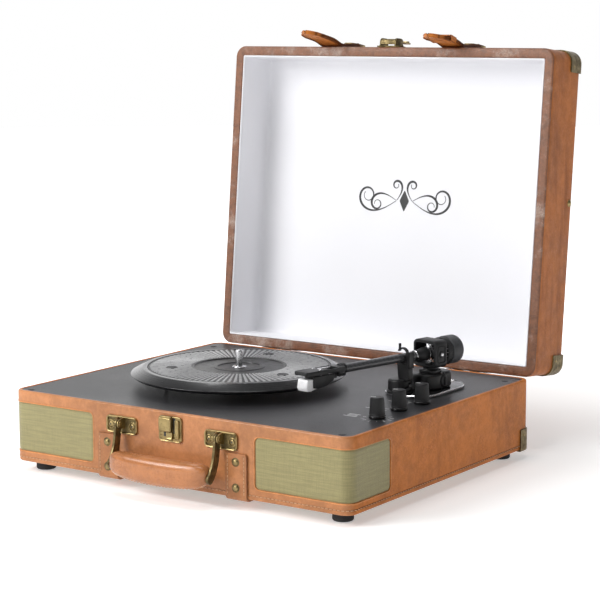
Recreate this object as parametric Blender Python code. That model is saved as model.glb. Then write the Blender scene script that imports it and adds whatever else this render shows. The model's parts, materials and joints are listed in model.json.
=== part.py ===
"""Suitcase record player: a leather-covered base and hinged lid, a belt-driven platter and a straight tonearm.

Metres, +Z up, +X to the player's right, +Y to its back. The lid stands open and the tonearm lies on its rest.
Everything is laid out from the middle of the base's footprint, then moved so that the origin is under the
middle of the whole player, on the surface that it stands on.
"""

from math import atan2, cos, pi, radians, sin, sqrt

import bmesh
import bpy
from mathutils import Matrix, Vector

# ---- Driving dimensions ----
GAP = 0.0003  # between pieces that touch
RUNNING = 0.0003  # radial play of a pin in its hole
SMOOTH_ANGLE = radians(35)

# Case
WIDTH = 0.400
DEPTH = 0.336
CORNER = 0.012
WALL = 0.009
FOOT_HEIGHT = 0.010
BASE_HEIGHT = 0.0715
BOTTOM_THICK = 0.004
BOTTOM_RAISE = 0.0015  # the bottom panel sits this far up inside the walls
RIM_WIDTH = 0.004  # leather edge that shows round the deck
DECK_THICK = 0.0035
DECK_SINK = 0.0004
FOOT_CHAMFER = 0.001
FOOT_RADIUS = 0.010
FOOT_INSET = 0.022

# Lid
LID_HEIGHT = 0.060
LID_WALL = 0.0103
LID_PANEL = 0.0045
LID_SOFT = 0.002  # slope of the edge round its top
LINING_THICK = 0.0010
HINGE_OUT = 0.0031  # hinge axis behind the back wall
HINGE_DROP = 0.0041  # hinge axis below the seam
LID_OPEN = 95.7  # degrees
HINGE_SPREAD = 0.120  # of each hinge from the middle
HINGE_LENGTH = 0.048
LEAF_THICK = 0.0010
LEAF_HEIGHT = 0.017

# Speakers
GRILLE_INNER = 0.0965  # inner end of a grille from the middle
GRILLE_SIDE = 0.067  # how far a grille runs back along the side
GRILLE_LOW = 0.021
GRILLE_TALL = 0.0485
GRILLE_DEPTH = 0.0025
GRILLE_CORNER = 0.0035
SPEAKER_X = 0.148
SPEAKER_HOLE = 0.0190
SPEAKER_FLANGE = 0.0225
SPEAKER_MAGNET = 0.0130
SPEAKER_DEEP = 0.020

# Sockets
SOCKET_PANEL_WIDE, SOCKET_PANEL_TALL, SOCKET_PANEL_CORNER = 0.068, 0.024, 0.003
SOCKET_PANEL_Z = 0.042
SOCKET_DEEP = 0.0065
SOCKETS = ((-0.020, 0.0040, 0.0012), (0.004, 0.0042, 0.0016), (0.020, 0.0042, 0.0016))  # x, bore, pin

# Platter and drive
PLATTER_X, PLATTER_Y = -0.028, -0.0225
PLATTER_TOP = 0.020  # above the deck
PLATTER_RIM = 0.1065
PLATTER_BULGE = 0.0025
PLATTER_SKIRT = 0.0115
PLATTER_WEB = 0.0025
SKIRT_WALL = 0.0030
MAT_RADIUS = 0.0917
MAT_THICK = 0.0021
MAT_SINK = 0.0004
LABEL_RADIUS = 0.0455
LABEL_SINK = 0.0010
LABEL_RING = 0.0253
LABEL_RING_WIDE = 0.0030
SPINDLE_RADIUS = 0.0036
SPINDLE_RISE = 0.016  # above the platter's rim
SPINDLE_FLANGE = 0.011
HUB_RADIUS = 0.009
ACCESS_RADIUS = 0.0045
ACCESS_CIRCLE = 0.068
ACCESS_ANGLES = (225.0, 100.0, 345.0)
BELT_RING = 0.060
BELT_RING_WALL = 0.0025
BELT_THICK = 0.0008
BELT_TALL = 0.0048
PULLEY_RADIUS = 0.0065
PULLEY_DISTANCE = 0.074
PULLEY_ANGLE = 225.0
SHAFT_RADIUS = 0.0012
MOTOR_RADIUS = 0.0175
MOTOR_TALL = 0.022

# Tonearm
PIVOT_X, PIVOT_Y = 0.147, 0.057
ARM_HEIGHT = 0.038  # of the tube's middle above the deck
ARM_ANGLE = 11.6  # degrees that the tube points inwards at rest
TUBE_RADIUS = 0.00425
TUBE_LENGTH = 0.122
STYLUS_REACH = 0.172
STYLUS_DROP = 0.0167
FRAME_WIDE, FRAME_TALL, FRAME_DEEP = 0.031, 0.0275, 0.017
FRAME_WALL = 0.003
FRAME_CORNER = 0.004
TRUNNION_RADIUS = 0.0017
PIVOT_BLOCK = 0.0070
PIVOT_BLOCK_HALF_TALL = 0.0046  # little more than the tube, so that nothing hangs below it over the lift
SWING_PIN = 0.0040
SWING_PIN_LONG = 0.010
TURRET_RADIUS = 0.0075
HOUSING_TOP = 0.0185
HOUSING_WIDE, HOUSING_LONG = 0.030, 0.046
PLATE_WIDE, PLATE_LONG, PLATE_THICK = 0.056, 0.096, 0.0030
PLATE_X, PLATE_Y = 0.142, 0.056
WEIGHT_RADIUS = 0.0143
WEIGHT_LONG = 0.0165
DIAL_RADIUS = 0.0138
DIAL_LONG = 0.0070
DIAL_START = 0.0125  # behind the pivot
STUB_RADIUS = 0.0035
HEAD_WIDE = 0.0180
HEAD_WALL = 0.0015
HEAD_LONG = 0.052
HEAD_ROOF = 0.0025
REST_X, REST_Y = 0.1335, 0.0225
REST_RADIUS = 0.0118
REST_TALL = 0.0130
REST_REACH = 0.038  # of the clip from the pivot
SADDLE_GAP = 0.0008
CLIP_CLEAR = 0.0010
CLIP_THICK = 0.0015
CLIP_WIDE = 0.0060
CLIP_OPEN = 22.0
CLIP_PIN = 0.0008
CLIP_PIVOT = (0.0082, 0.0035)
LIFT_REACH = 0.0305
LIFT_PIN = 0.0020
LIFT_TRAVEL = 0.0036
LIFT_CLEAR = 0.0008
CUE_LONG = 0.018
CUE_AXLE = 0.0013
CUE_AXLE_RISE = 0.0065  # above the foot of the lift's housing
CUE_DROP = 12.0  # degrees that the lever hangs below level

# Controls
KNOB_PLACES = {"knob_volume": (0.174, -0.083), "knob_mode": (0.172, -0.0415), "knob_speed": (0.174, -0.0035)}
KNOB_RADIUS = 0.0072
KNOB_TOP_RADIUS = 0.0063
KNOB_TALL = 0.0195
KNOB_SKIRT = 0.0079
POT_SHAFT = 0.0030
POT_BORE_DEEP = 0.005
BOARD_THICK = 0.0016
POT_HALF, POT_TALL = 0.008, 0.0085

# Front hardware
BRACKET_X = 0.059
BRACKET_WIDE, BRACKET_TALL = 0.0375, 0.0165
BRACKET_MIDDLE = 0.0625
PLATE_METAL = 0.0012
EAR_THICK, EAR_RADIUS = 0.0014, 0.0036
SCREW_RADIUS, SCREW_RISE, SCREW_SPREAD = 0.0026, 0.0011, 0.0135
HANDLE_PIN_OUT = 0.0075
HANDLE_PIN_RADIUS = 0.0018
HANDLE_PIN_Z = 0.0650
EYE_RADIUS = 0.0046
ARM_THICK = 0.0030
ARM_WIDE = 0.0090
ARM_DROP = 0.036
ARM_LEAN = 0.0095
GRIP_TALL, GRIP_THICK = 0.026, 0.018
GRIP_BOW = 0.006
LATCH_WIDE, LATCH_TALL, LATCH_MIDDLE = 0.027, 0.023, 0.0658
LATCH_BOX_WIDE, LATCH_BOX_TALL, LATCH_BOX_OUT = 0.019, 0.0115, 0.0060
STRAP_X = 0.076
STRAP_WIDE = 0.024
STRAP_THICK = 0.0022
STRAP_BEND = 0.003  # inner radius at the base's lower edge
STRAP_TOP = 0.0520
STRAP_UNDER = 0.035  # how far a lower strap runs back under the base
STRAP_LID_LONG = 0.040
STRAP_FREE = 0.046
STRAP_RISE = 0.013
HASP_WIDE, HASP_LONG, HASP_THICK = 0.016, 0.027, 0.0018
HASP_BLOCK_TALL = 0.0085
CLASP_WIDE = 0.030
GUARD_LEG = 0.022
GUARD_THICK = 0.0010
GUARD_NOTCH = 0.55  # how far in the cap's cut corner lies, as a share of its leg

# ---- Derived places ----
BASE_TOP = FOOT_HEIGHT + BASE_HEIGHT
DECK_Z = BASE_TOP - DECK_SINK
DECK_UNDER = DECK_Z - DECK_THICK
FRONT_Y = -DEPTH / 2
BACK_Y = DEPTH / 2
ARM_Z = DECK_Z + ARM_HEIGHT
HINGE_Y = BACK_Y + HINGE_OUT
HINGE_Z = BASE_TOP - HINGE_DROP
TUBE_UNDER = DECK_Z + ARM_HEIGHT - TUBE_RADIUS


# ---- Helpers ----
def clear_scene():
    for old in list(bpy.data.objects):
        bpy.data.objects.remove(old, do_unlink=True)


def finish(name, colour, roughness, metallic=0.0):
    """A Principled material with one colour."""
    material = bpy.data.materials.new(name)
    material.use_nodes = True
    shader = material.node_tree.nodes["Principled BSDF"]
    shader.inputs["Base Color"].default_value = (*colour, 1.0)
    shader.inputs["Roughness"].default_value = roughness
    shader.inputs["Metallic"].default_value = metallic
    return material


def empty(name, location=(0, 0, 0), parent=None, rotation=(0, 0, 0)):
    axis = bpy.data.objects.new(name, None)
    axis.location = location
    axis.rotation_euler = rotation
    axis.parent = parent
    bpy.context.collection.objects.link(axis)
    return axis


def rounded(width, depth, radius, steps=4, centre=(0, 0)):
    """Corner points of a rectangle with rounded corners, anticlockwise, as (x, y)."""
    points = []
    for turn, (sx, sy) in enumerate(((1, 1), (-1, 1), (-1, -1), (1, -1))):
        for step in range(steps + 1):
            angle = (turn + step / steps) * pi / 2
            x = sx * (width / 2 - radius) + radius * cos(angle)
            y = sy * (depth / 2 - radius) + radius * sin(angle)
            points.append((centre[0] + x, centre[1] + y))
    return points


def circle(radius, steps=24, centre=(0, 0)):
    return [
        (centre[0] + radius * cos(2 * pi * i / steps), centre[1] + radius * sin(2 * pi * i / steps))
        for i in range(steps)
    ]


def level(outline, z):
    return [Vector((x, y, z)) for x, y in outline]


def loft(sections, closed=False):
    """Skins sections that have the same number of points. A closed loft joins the last to the first, as a
    ring does. An open one is capped at both ends."""
    shape = bmesh.new()
    rows = [[shape.verts.new(point) for point in section] for section in sections]
    pairs = list(zip(rows, rows[1:])) + ([(rows[-1], rows[0])] if closed else [])
    for low, high in pairs:
        for i in range(len(low)):
            j = (i + 1) % len(low)
            shape.faces.new((low[i], low[j], high[j], high[i]))
    if not closed:
        shape.faces.new(rows[0][::-1])
        shape.faces.new(rows[-1])
    bmesh.ops.recalc_face_normals(shape, faces=shape.faces)
    return shape


def prism(outline, low, high):
    return loft([level(outline, low), level(outline, high)])


def turned(profile, steps=24, closed=False):
    """A turned shape from (radius, z) points. An open profile is capped flat at both ends."""
    return loft([level(circle(radius, steps), z) for radius, z in profile], closed)


def box(low, high):
    (x0, y0, z0), (x1, y1, z1) = low, high
    return prism([(x0, y0), (x1, y0), (x1, y1), (x0, y1)], z0, z1)


def moved(shape, location=(0, 0, 0), turn=0.0, axis="X"):
    """Turns a shape by an angle in degrees about an axis through the origin, then moves it."""
    matrix = Matrix.Translation(location) @ Matrix.Rotation(radians(turn), 4, axis)
    bmesh.ops.transform(shape, matrix=matrix, verts=shape.verts)
    return shape


def upright(outline, low, high):
    """An (x, z) outline extruded along Y from low to high."""
    shape = prism([(x, z) for x, z in outline], -high, -low)
    return moved(shape, turn=90)


def sideways(outline, low, high):
    """A (y, z) outline extruded along X from low to high."""
    shape = prism(outline, low, high)
    matrix = Matrix(((0, 0, 1, 0), (1, 0, 0, 0), (0, 1, 0, 0), (0, 0, 0, 1)))
    bmesh.ops.transform(shape, matrix=matrix, verts=shape.verts)
    return shape


def rod_x(radius, low, high, centre, steps=16):
    """A round rod along X; centre is its (y, z)."""
    return sideways(circle(radius, steps, centre), low, high)


def rod_y(radius, low, high, centre=(0, 0), steps=16):
    """A round rod along Y; centre is its (x, z)."""
    return upright(circle(radius, steps, centre), low, high)


def turned_y(profile, steps=24, closed=False):
    """A turned shape about Y from (radius, y) points."""
    return moved(turned([(r, -y) for r, y in profile], steps, closed), turn=90)


def place(name, shape, material, parent, origin):
    bmesh.ops.translate(shape, vec=-Vector(origin), verts=shape.verts)
    bmesh.ops.recalc_face_normals(shape, faces=shape.faces)
    mesh = bpy.data.meshes.new(name)
    shape.to_mesh(mesh)
    shape.free()
    mesh.shade_smooth()
    mesh.set_sharp_from_angle(angle=SMOOTH_ANGLE)
    mesh.materials.append(material)
    thing = bpy.data.objects.new(name, mesh)
    thing.location = origin
    thing.parent = parent
    bpy.context.collection.objects.link(thing)
    return thing


def piece(name, shape, material, parent, origin=(0, 0, 0), add=(), cut=(), join=()):
    """One node. The shapes are in the parent's space, and origin is where the node's own origin goes there.
    Shapes to add, to cut, and to join after the cuts become hidden helpers of Boolean modifiers."""
    body = place(name, shape, material, parent, origin)
    steps = (("add", "UNION", add), ("cut", "DIFFERENCE", cut), ("join", "UNION", join))
    for label, operation, shapes in steps:
        for index, helper_shape in enumerate(shapes):
            helper = place(f"{name}_{label}_{index}", helper_shape, material, parent, origin)
            helper.hide_render = True
            helper.display_type = "WIRE"
            modifier = body.modifiers.new(helper.name, "BOOLEAN")
            modifier.operation = operation
            modifier.object = helper


# ---- Base ----
def grille_outline(side, inset, depth):
    """Plan of a grille strip that wraps a front corner: the outer face is inset from the case by depth."""
    corner = CORNER - depth
    outer = []
    x_face, y_face = WIDTH / 2 - depth, FRONT_Y + depth
    outer.append((GRILLE_INNER + inset, y_face))
    for step in range(7):
        angle = -pi / 2 + step / 6 * pi / 2
        outer.append((x_face - corner + corner * cos(angle), y_face + corner + corner * sin(angle)))
    outer.append((x_face, FRONT_Y + GRILLE_SIDE - inset))
    return [(side * x, y) for x, y in outer]


def grille_strip(side, inset, front, back):
    """The space between two depths behind the case's face, from the grille's low edge to its high edge."""
    outer = grille_outline(side, inset, front)
    inner = grille_outline(side, inset, back)
    return prism(outer + inner[::-1], GRILLE_LOW + inset, GRILLE_LOW + GRILLE_TALL - inset)


def build_case(root, leather, wood, vinyl, rubber):
    outer = rounded(WIDTH, DEPTH, CORNER)
    rebate = rounded(WIDTH - 2 * RIM_WIDTH, DEPTH - 2 * RIM_WIDTH, CORNER - RIM_WIDTH)
    inner = rounded(WIDTH - 2 * WALL, DEPTH - 2 * WALL, CORNER - WALL)
    ledge = DECK_UNDER - GAP
    sections = [
        level(outer, FOOT_HEIGHT),
        level(outer, BASE_TOP),
        level(rebate, BASE_TOP),
        level(rebate, ledge),
        level(inner, ledge),
        level(inner, FOOT_HEIGHT),
    ]
    grille_middle = GRILLE_LOW + GRILLE_TALL / 2
    cuts = []
    for side in (-1, 1):
        cuts.append(grille_strip(side, 0, -GAP, GRILLE_DEPTH))
        hole = rod_y(SPEAKER_HOLE, FRONT_Y - GAP, FRONT_Y + WALL + GAP, (side * SPEAKER_X, grille_middle))
        cuts.append(hole)
    cuts.append(rear_panel_shape(GAP))
    piece("base_frame", loft(sections, closed=True), leather, root, cut=cuts)

    low = FOOT_HEIGHT + BOTTOM_RAISE
    fit = 2 * (WALL + GAP)
    panel = rounded(WIDTH - fit, DEPTH - fit, CORNER - WALL)
    piece("base_bottom", prism(panel, low, low + BOTTOM_THICK), wood, root)

    fit = 2 * (RIM_WIDTH + GAP)
    plate = rounded(WIDTH - fit, DEPTH - fit, CORNER - RIM_WIDTH)
    bores = [(SPINDLE_RADIUS + 2 * GAP, (PLATTER_X, PLATTER_Y)), (PULLEY_RADIUS / 2, pulley_place())]
    bores += [(POT_SHAFT + GAP, knob) for knob in KNOB_PLACES.values()]
    holes = [prism(circle(radius, 20, where), DECK_UNDER - GAP, DECK_Z + GAP) for radius, where in bores]
    piece("deck_plate", prism(plate, DECK_UNDER, DECK_Z), vinyl, root, cut=holes)

    narrow = FOOT_RADIUS - FOOT_CHAMFER
    profile = [(narrow, 0), (FOOT_RADIUS, FOOT_CHAMFER), (narrow, FOOT_HEIGHT + BOTTOM_RAISE - GAP)]
    foot_x, foot_y = WIDTH / 2 - FOOT_INSET, DEPTH / 2 - FOOT_INSET
    for end, sy in (("front", -1), ("rear", 1)):
        for side, sx in (("left", -1), ("right", 1)):
            where = (sx * foot_x, sy * foot_y, 0)
            piece(f"foot_{end}_{side}", moved(turned(profile, 20), where), rubber, root, where)


def rear_panel_shape(grow=0.0):
    """The socket panel that fills a window in the back wall."""
    wide, tall = SOCKET_PANEL_WIDE + 2 * grow, SOCKET_PANEL_TALL + 2 * grow
    outline = rounded(wide, tall, SOCKET_PANEL_CORNER + grow, 2, (0, SOCKET_PANEL_Z))
    inside = GAP if grow else 0
    return upright(outline, BACK_Y - WALL - inside, BACK_Y + inside - (0 if grow else GAP))


def build_rear_panel(root, plastic):
    """A plate with a power inlet and two phono sockets, each a ring round a centre pin."""
    floor = BACK_Y - SOCKET_DEEP
    cuts = [rod_y(bore, floor, BACK_Y + GAP, (x, SOCKET_PANEL_Z)) for x, bore, _ in SOCKETS]
    pins = [rod_y(pin, floor - 0.0015, BACK_Y - 0.0010, (x, SOCKET_PANEL_Z), 12) for x, _, pin in SOCKETS]
    piece("rear_panel", rear_panel_shape(), plastic, root, cut=cuts, join=pins)


def build_speakers(root, cloth, steel):
    middle = GRILLE_LOW + GRILLE_TALL / 2
    for name, side in (("left", -1), ("right", 1)):
        strip = grille_strip(side, GAP, GRILLE_DEPTH * 0.2, GRILLE_DEPTH - GAP)
        piece(f"speaker_grille_{name}", strip, cloth, root)
        inside = FRONT_Y + WALL + GAP
        profile = [
            (SPEAKER_HOLE * 0.5, inside + 0.006),
            (SPEAKER_HOLE * 0.9, inside),
            (SPEAKER_FLANGE, inside),
            (SPEAKER_FLANGE, inside + 0.002),
            (SPEAKER_MAGNET, inside + 0.010),
            (SPEAKER_MAGNET, inside + SPEAKER_DEEP),
        ]
        driver = moved(turned_y(profile, 24), (side * SPEAKER_X, 0, middle))
        piece(f"speaker_{name}", driver, steel, root, (side * SPEAKER_X, inside, middle))


# ---- Platter and drive ----
def pulley_place():
    angle = radians(PULLEY_ANGLE)
    return PLATTER_X + PULLEY_DISTANCE * cos(angle), PLATTER_Y + PULLEY_DISTANCE * sin(angle)


def belt_outline(big, small):
    """The loop of two equal tangents round a circle at the origin and a smaller one at +X."""
    lean = atan2(sqrt(PULLEY_DISTANCE**2 - (big - small) ** 2), big - small)
    points = []
    for step in range(33):
        angle = lean + (2 * pi - 2 * lean) * step / 32
        points.append((big * cos(angle), big * sin(angle)))
    for step in range(13):
        angle = -lean + 2 * lean * step / 12
        points.append((PULLEY_DISTANCE + small * cos(angle), small * sin(angle)))
    return points


def access_holes(low, high):
    angles = [radians(angle) for angle in ACCESS_ANGLES]
    middles = [(ACCESS_CIRCLE * cos(angle), ACCESS_CIRCLE * sin(angle)) for angle in angles]
    return [prism(circle(ACCESS_RADIUS, 12, middle), low, high) for middle in middles]


def build_drive(root, platter_axis, pulley_axis, metal, rubber, steel, black):
    top = PLATTER_TOP
    web = top - MAT_SINK - MAT_THICK - GAP
    under = web - PLATTER_WEB
    skirt = top - PLATTER_SKIRT
    shoulder = skirt - 0.001
    bulge = PLATTER_RIM + PLATTER_BULGE
    skirt_out = PLATTER_RIM - 0.0005
    profile = [
        (SPINDLE_RADIUS + RUNNING / 2, shoulder),
        (HUB_RADIUS, shoulder),
        (HUB_RADIUS, under),
        (BELT_RING - BELT_RING_WALL, under),
        (BELT_RING - BELT_RING_WALL, skirt),
        (BELT_RING, skirt),
        (BELT_RING, under),
        (skirt_out - SKIRT_WALL, under),
        (skirt_out - SKIRT_WALL, skirt),
        (skirt_out, skirt),
        (bulge, skirt + PLATTER_SKIRT * 0.45),
        (PLATTER_RIM, top),
        (MAT_RADIUS + GAP, top),
        (MAT_RADIUS + GAP, web),
        (SPINDLE_RADIUS + RUNNING / 2, web),
    ]
    piece("platter", turned(profile, 48, closed=True), metal, platter_axis, cut=access_holes(skirt, top + GAP))

    mat_top, mat_low = top - MAT_SINK, web + GAP
    label, ring_top = mat_top - LABEL_SINK, mat_top - LABEL_SINK / 2
    mat = [
        (SPINDLE_RADIUS + 4 * GAP, mat_low),
        (MAT_RADIUS, mat_low),
        (MAT_RADIUS, mat_top),
        (LABEL_RADIUS, mat_top),
        (LABEL_RADIUS, label),
        (LABEL_RING, label),
        (LABEL_RING - GAP, ring_top),
        (LABEL_RING - LABEL_RING_WIDE, ring_top),
        (LABEL_RING - LABEL_RING_WIDE - GAP, label),
        (SPINDLE_RADIUS + 4 * GAP, label),
    ]
    piece("slip_mat", turned(mat, 48, closed=True), rubber, platter_axis, cut=access_holes(skirt, top + GAP))

    centre = (PLATTER_X, PLATTER_Y, DECK_Z)
    nut = DECK_THICK + GAP
    spindle = [
        (0.007, -nut - 0.004),
        (0.007, -nut),
        (SPINDLE_RADIUS, -nut),
        (SPINDLE_RADIUS, GAP),
        (SPINDLE_FLANGE, GAP),
        (SPINDLE_FLANGE, shoulder - GAP),
        (SPINDLE_RADIUS, shoulder - GAP),
        (SPINDLE_RADIUS, top + SPINDLE_RISE - 0.002),
        (SPINDLE_RADIUS - 0.0014, top + SPINDLE_RISE),
    ]
    piece("spindle", moved(turned(spindle, 24), centre), steel, root, centre)

    low = under - GAP - BELT_TALL
    inner = level(belt_outline(BELT_RING + GAP, PULLEY_RADIUS + GAP), low)
    outer = level(belt_outline(BELT_RING + GAP + BELT_THICK, PULLEY_RADIUS + GAP + BELT_THICK), low)
    rise = Vector((0, 0, BELT_TALL))
    sections = [inner, outer, [p + rise for p in outer], [p + rise for p in inner]]
    belt = moved(loft(sections, closed=True), centre, PULLEY_ANGLE, "Z")
    piece("drive_belt", belt, rubber, root, centre)

    bottom = -DECK_THICK - GAP
    pulley = [
        (SHAFT_RADIUS, bottom - 0.012),
        (SHAFT_RADIUS, low - 0.001),
        (PULLEY_RADIUS + 0.001, low - 0.001),
        (PULLEY_RADIUS, low - GAP),
        (PULLEY_RADIUS, under - GAP - 0.0004),
        (PULLEY_RADIUS - 0.001, under - GAP),
    ]
    piece("motor_pulley", turned(pulley, 20), black, pulley_axis)
    motor = [
        (MOTOR_RADIUS - 0.002, bottom - MOTOR_TALL),
        (MOTOR_RADIUS, bottom - MOTOR_TALL + 0.002),
        (MOTOR_RADIUS, bottom),
        (SHAFT_RADIUS + RUNNING, bottom),
        (SHAFT_RADIUS + RUNNING, bottom - 0.013),
    ]
    where = (*pulley_place(), DECK_Z)
    piece("motor", moved(turned(motor, 24), where), steel, root, where)


# ---- Tonearm ----
def build_tonearm(root, swing, pitch, clip, black, gloss, carbon, white, steel):
    """The base plate stays with the deck. The arm's own pieces are in the space of the swing axis, where the
    tube runs along -Y from the pivot at the origin."""
    low = DECK_Z + GAP
    plate_top = low + PLATE_THICK
    wide, long_ = PLATE_WIDE, PLATE_LONG
    foot = rounded(wide, long_, wide / 2 - 0.0005, 8, (PLATE_X, PLATE_Y))
    crown = rounded(wide - 0.003, long_ - 0.003, wide / 2 - 0.002, 8, (PLATE_X, PLATE_Y))
    sections = [level(foot, low), level(foot, plate_top - 0.001), level(crown, plate_top)]
    piece("tonearm_base", loft(sections), gloss, root)

    low = plate_top + GAP
    high = DECK_Z + HOUSING_TOP
    middle = (PIVOT_X, PIVOT_Y + 0.003)
    block = rounded(HOUSING_WIDE, HOUSING_LONG, HOUSING_WIDE / 2 - 0.0005, 6, middle)
    smaller = rounded(HOUSING_WIDE - 0.004, HOUSING_LONG - 0.004, HOUSING_WIDE / 2 - 0.0025, 6, middle)
    frame_under = ARM_Z - FRAME_TALL / 2
    turret = prism(circle(TURRET_RADIUS, 24, (PIVOT_X, PIVOT_Y)), high - 0.002, frame_under - 2 * GAP)
    bore = circle(SWING_PIN + RUNNING, 16, (PIVOT_X, PIVOT_Y))
    bore = prism(bore, frame_under - SWING_PIN_LONG - 0.001, ARM_Z)
    housing = loft([level(block, low), level(block, high - 0.002), level(smaller, high)])
    piece("tonearm_housing", housing, black, root, (PIVOT_X, PIVOT_Y, low), add=[turret], cut=[bore])

    build_gimbal(swing, black)
    build_arm(pitch, black, carbon, white)
    build_rest(root, clip, black)


def build_gimbal(swing, black):
    outline = rounded(FRAME_WIDE, FRAME_TALL, FRAME_CORNER)
    window = rounded(FRAME_WIDE - 2 * FRAME_WALL, FRAME_TALL - 2 * FRAME_WALL, FRAME_CORNER - 0.0015)
    half = FRAME_DEEP / 2
    sections = [[Vector((x, y, z)) for x, z in points] for points, y in
                ((outline, -half), (outline, half), (window, half), (window, -half))]
    pin = prism(circle(SWING_PIN, 16), -FRAME_TALL / 2 - SWING_PIN_LONG, -FRAME_TALL / 2 + 0.001)
    pivots = rod_x(TRUNNION_RADIUS + RUNNING, -FRAME_WIDE, FRAME_WIDE, (0, 0), 12)
    piece("gimbal_frame", loft(sections, closed=True), black, swing, add=[pin], cut=[pivots])


def build_arm(pitch, black, carbon, white):
    inner_half = FRAME_WIDE / 2 - FRAME_WALL
    block = box((-PIVOT_BLOCK, -0.0060, -PIVOT_BLOCK_HALF_TALL), (PIVOT_BLOCK, 0.0060, PIVOT_BLOCK_HALF_TALL))
    axle = rod_x(TRUNNION_RADIUS, -inner_half - 0.002, inner_half + 0.002, (0, 0), 12)
    stub_end = DIAL_START + DIAL_LONG + WEIGHT_LONG + 0.0015
    stub = rod_y(STUB_RADIUS, 0.004, stub_end, (0, 0), 16)
    tube = rod_y(TUBE_RADIUS, -TUBE_LENGTH, -0.004, (0, 0), 20)
    piece("arm_tube", tube, carbon, pitch, add=[block, axle, stub])

    rear = TUBE_LENGTH + GAP
    front = STYLUS_REACH + 0.006
    half = HEAD_WIDE / 2
    outer = [(-half, -0.0060), (half, -0.0060), (half, 0.0040), (-half, 0.0040)]
    shell = upright(outer, -front, -front + HEAD_LONG)
    hollow_half = half - HEAD_WALL
    roof_under, back = 0.0040 - HEAD_ROOF, -front + HEAD_LONG - 0.006
    hollow = box((-hollow_half, -front + 0.001, -0.0070), (hollow_half, back, roof_under))
    collar = rod_y(TUBE_RADIUS + 0.0010, -front + HEAD_LONG - 0.001, -rear, (0, 0), 20)
    finger = box((half - 0.001, -rear - 0.0120, -0.0050), (half + 0.0075, -rear - 0.0080, -0.0032))
    piece("headshell", shell, black, pitch, add=[collar, finger], cut=[hollow])

    side = hollow_half - GAP
    top = 0.0040 - HEAD_ROOF - GAP
    body_front = STYLUS_REACH - 0.0065
    body = [(-body_front, top), (-body_front, -0.0135), (-0.150, -0.0128), (-0.138, -0.0085), (-0.136, top)]
    piece("cartridge", sideways(body, -side, side), black, pitch)
    guard_front = STYLUS_REACH + 0.005
    guard_back = body_front + GAP
    shape = [(-guard_front, top), (-guard_front, -0.0150), (-guard_front + 0.0015, -0.0160)]
    shape += [(-guard_back, -0.0145), (-guard_back, top)]
    needle = turned([(0.0003, -STYLUS_DROP), (0.0016, -0.0140), (0.0016, -0.0120)], 8)
    needle = moved(needle, (0, -STYLUS_REACH, 0))
    piece("stylus", sideways(shape, -side, side), white, pitch, add=[needle])


def build_weight(slide, turn, black, grey):
    """The dial's sleeve slides along the stub, and the weight turns on the sleeve's thread."""
    start = DIAL_START
    end = start + DIAL_LONG
    bore = STUB_RADIUS + RUNNING
    sleeve = bore + 0.0012
    dial = [
        (bore, start),
        (DIAL_RADIUS - 0.001, start),
        (DIAL_RADIUS, start + 0.001),
        (DIAL_RADIUS, end),
        (sleeve, end),
        (sleeve, end + WEIGHT_LONG * 0.6),
        (bore, end + WEIGHT_LONG * 0.6),
    ]
    piece("force_dial", turned_y(dial, 24, closed=True), black, slide)
    front, back = end + GAP, end + GAP + WEIGHT_LONG
    weight = [
        (sleeve + RUNNING, front),
        (WEIGHT_RADIUS, front),
        (WEIGHT_RADIUS, back - 0.0020),
        (WEIGHT_RADIUS - 0.0020, back),
        (sleeve + RUNNING, back),
    ]
    dimple = rod_x(0.0012, WEIGHT_RADIUS - 0.002, WEIGHT_RADIUS + 0.002, (back - 0.006, 0), 8)
    piece("counterweight", turned_y(weight, 32, closed=True), grey, turn, cut=[dimple])


def arm_point(reach, side=0.0):
    """Plan position of a point along the resting tube, reach from the pivot and side to its right."""
    angle = radians(ARM_ANGLE)
    return (
        PIVOT_X - reach * sin(angle) + side * cos(angle),
        PIVOT_Y - reach * cos(angle) - side * sin(angle),
    )


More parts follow.
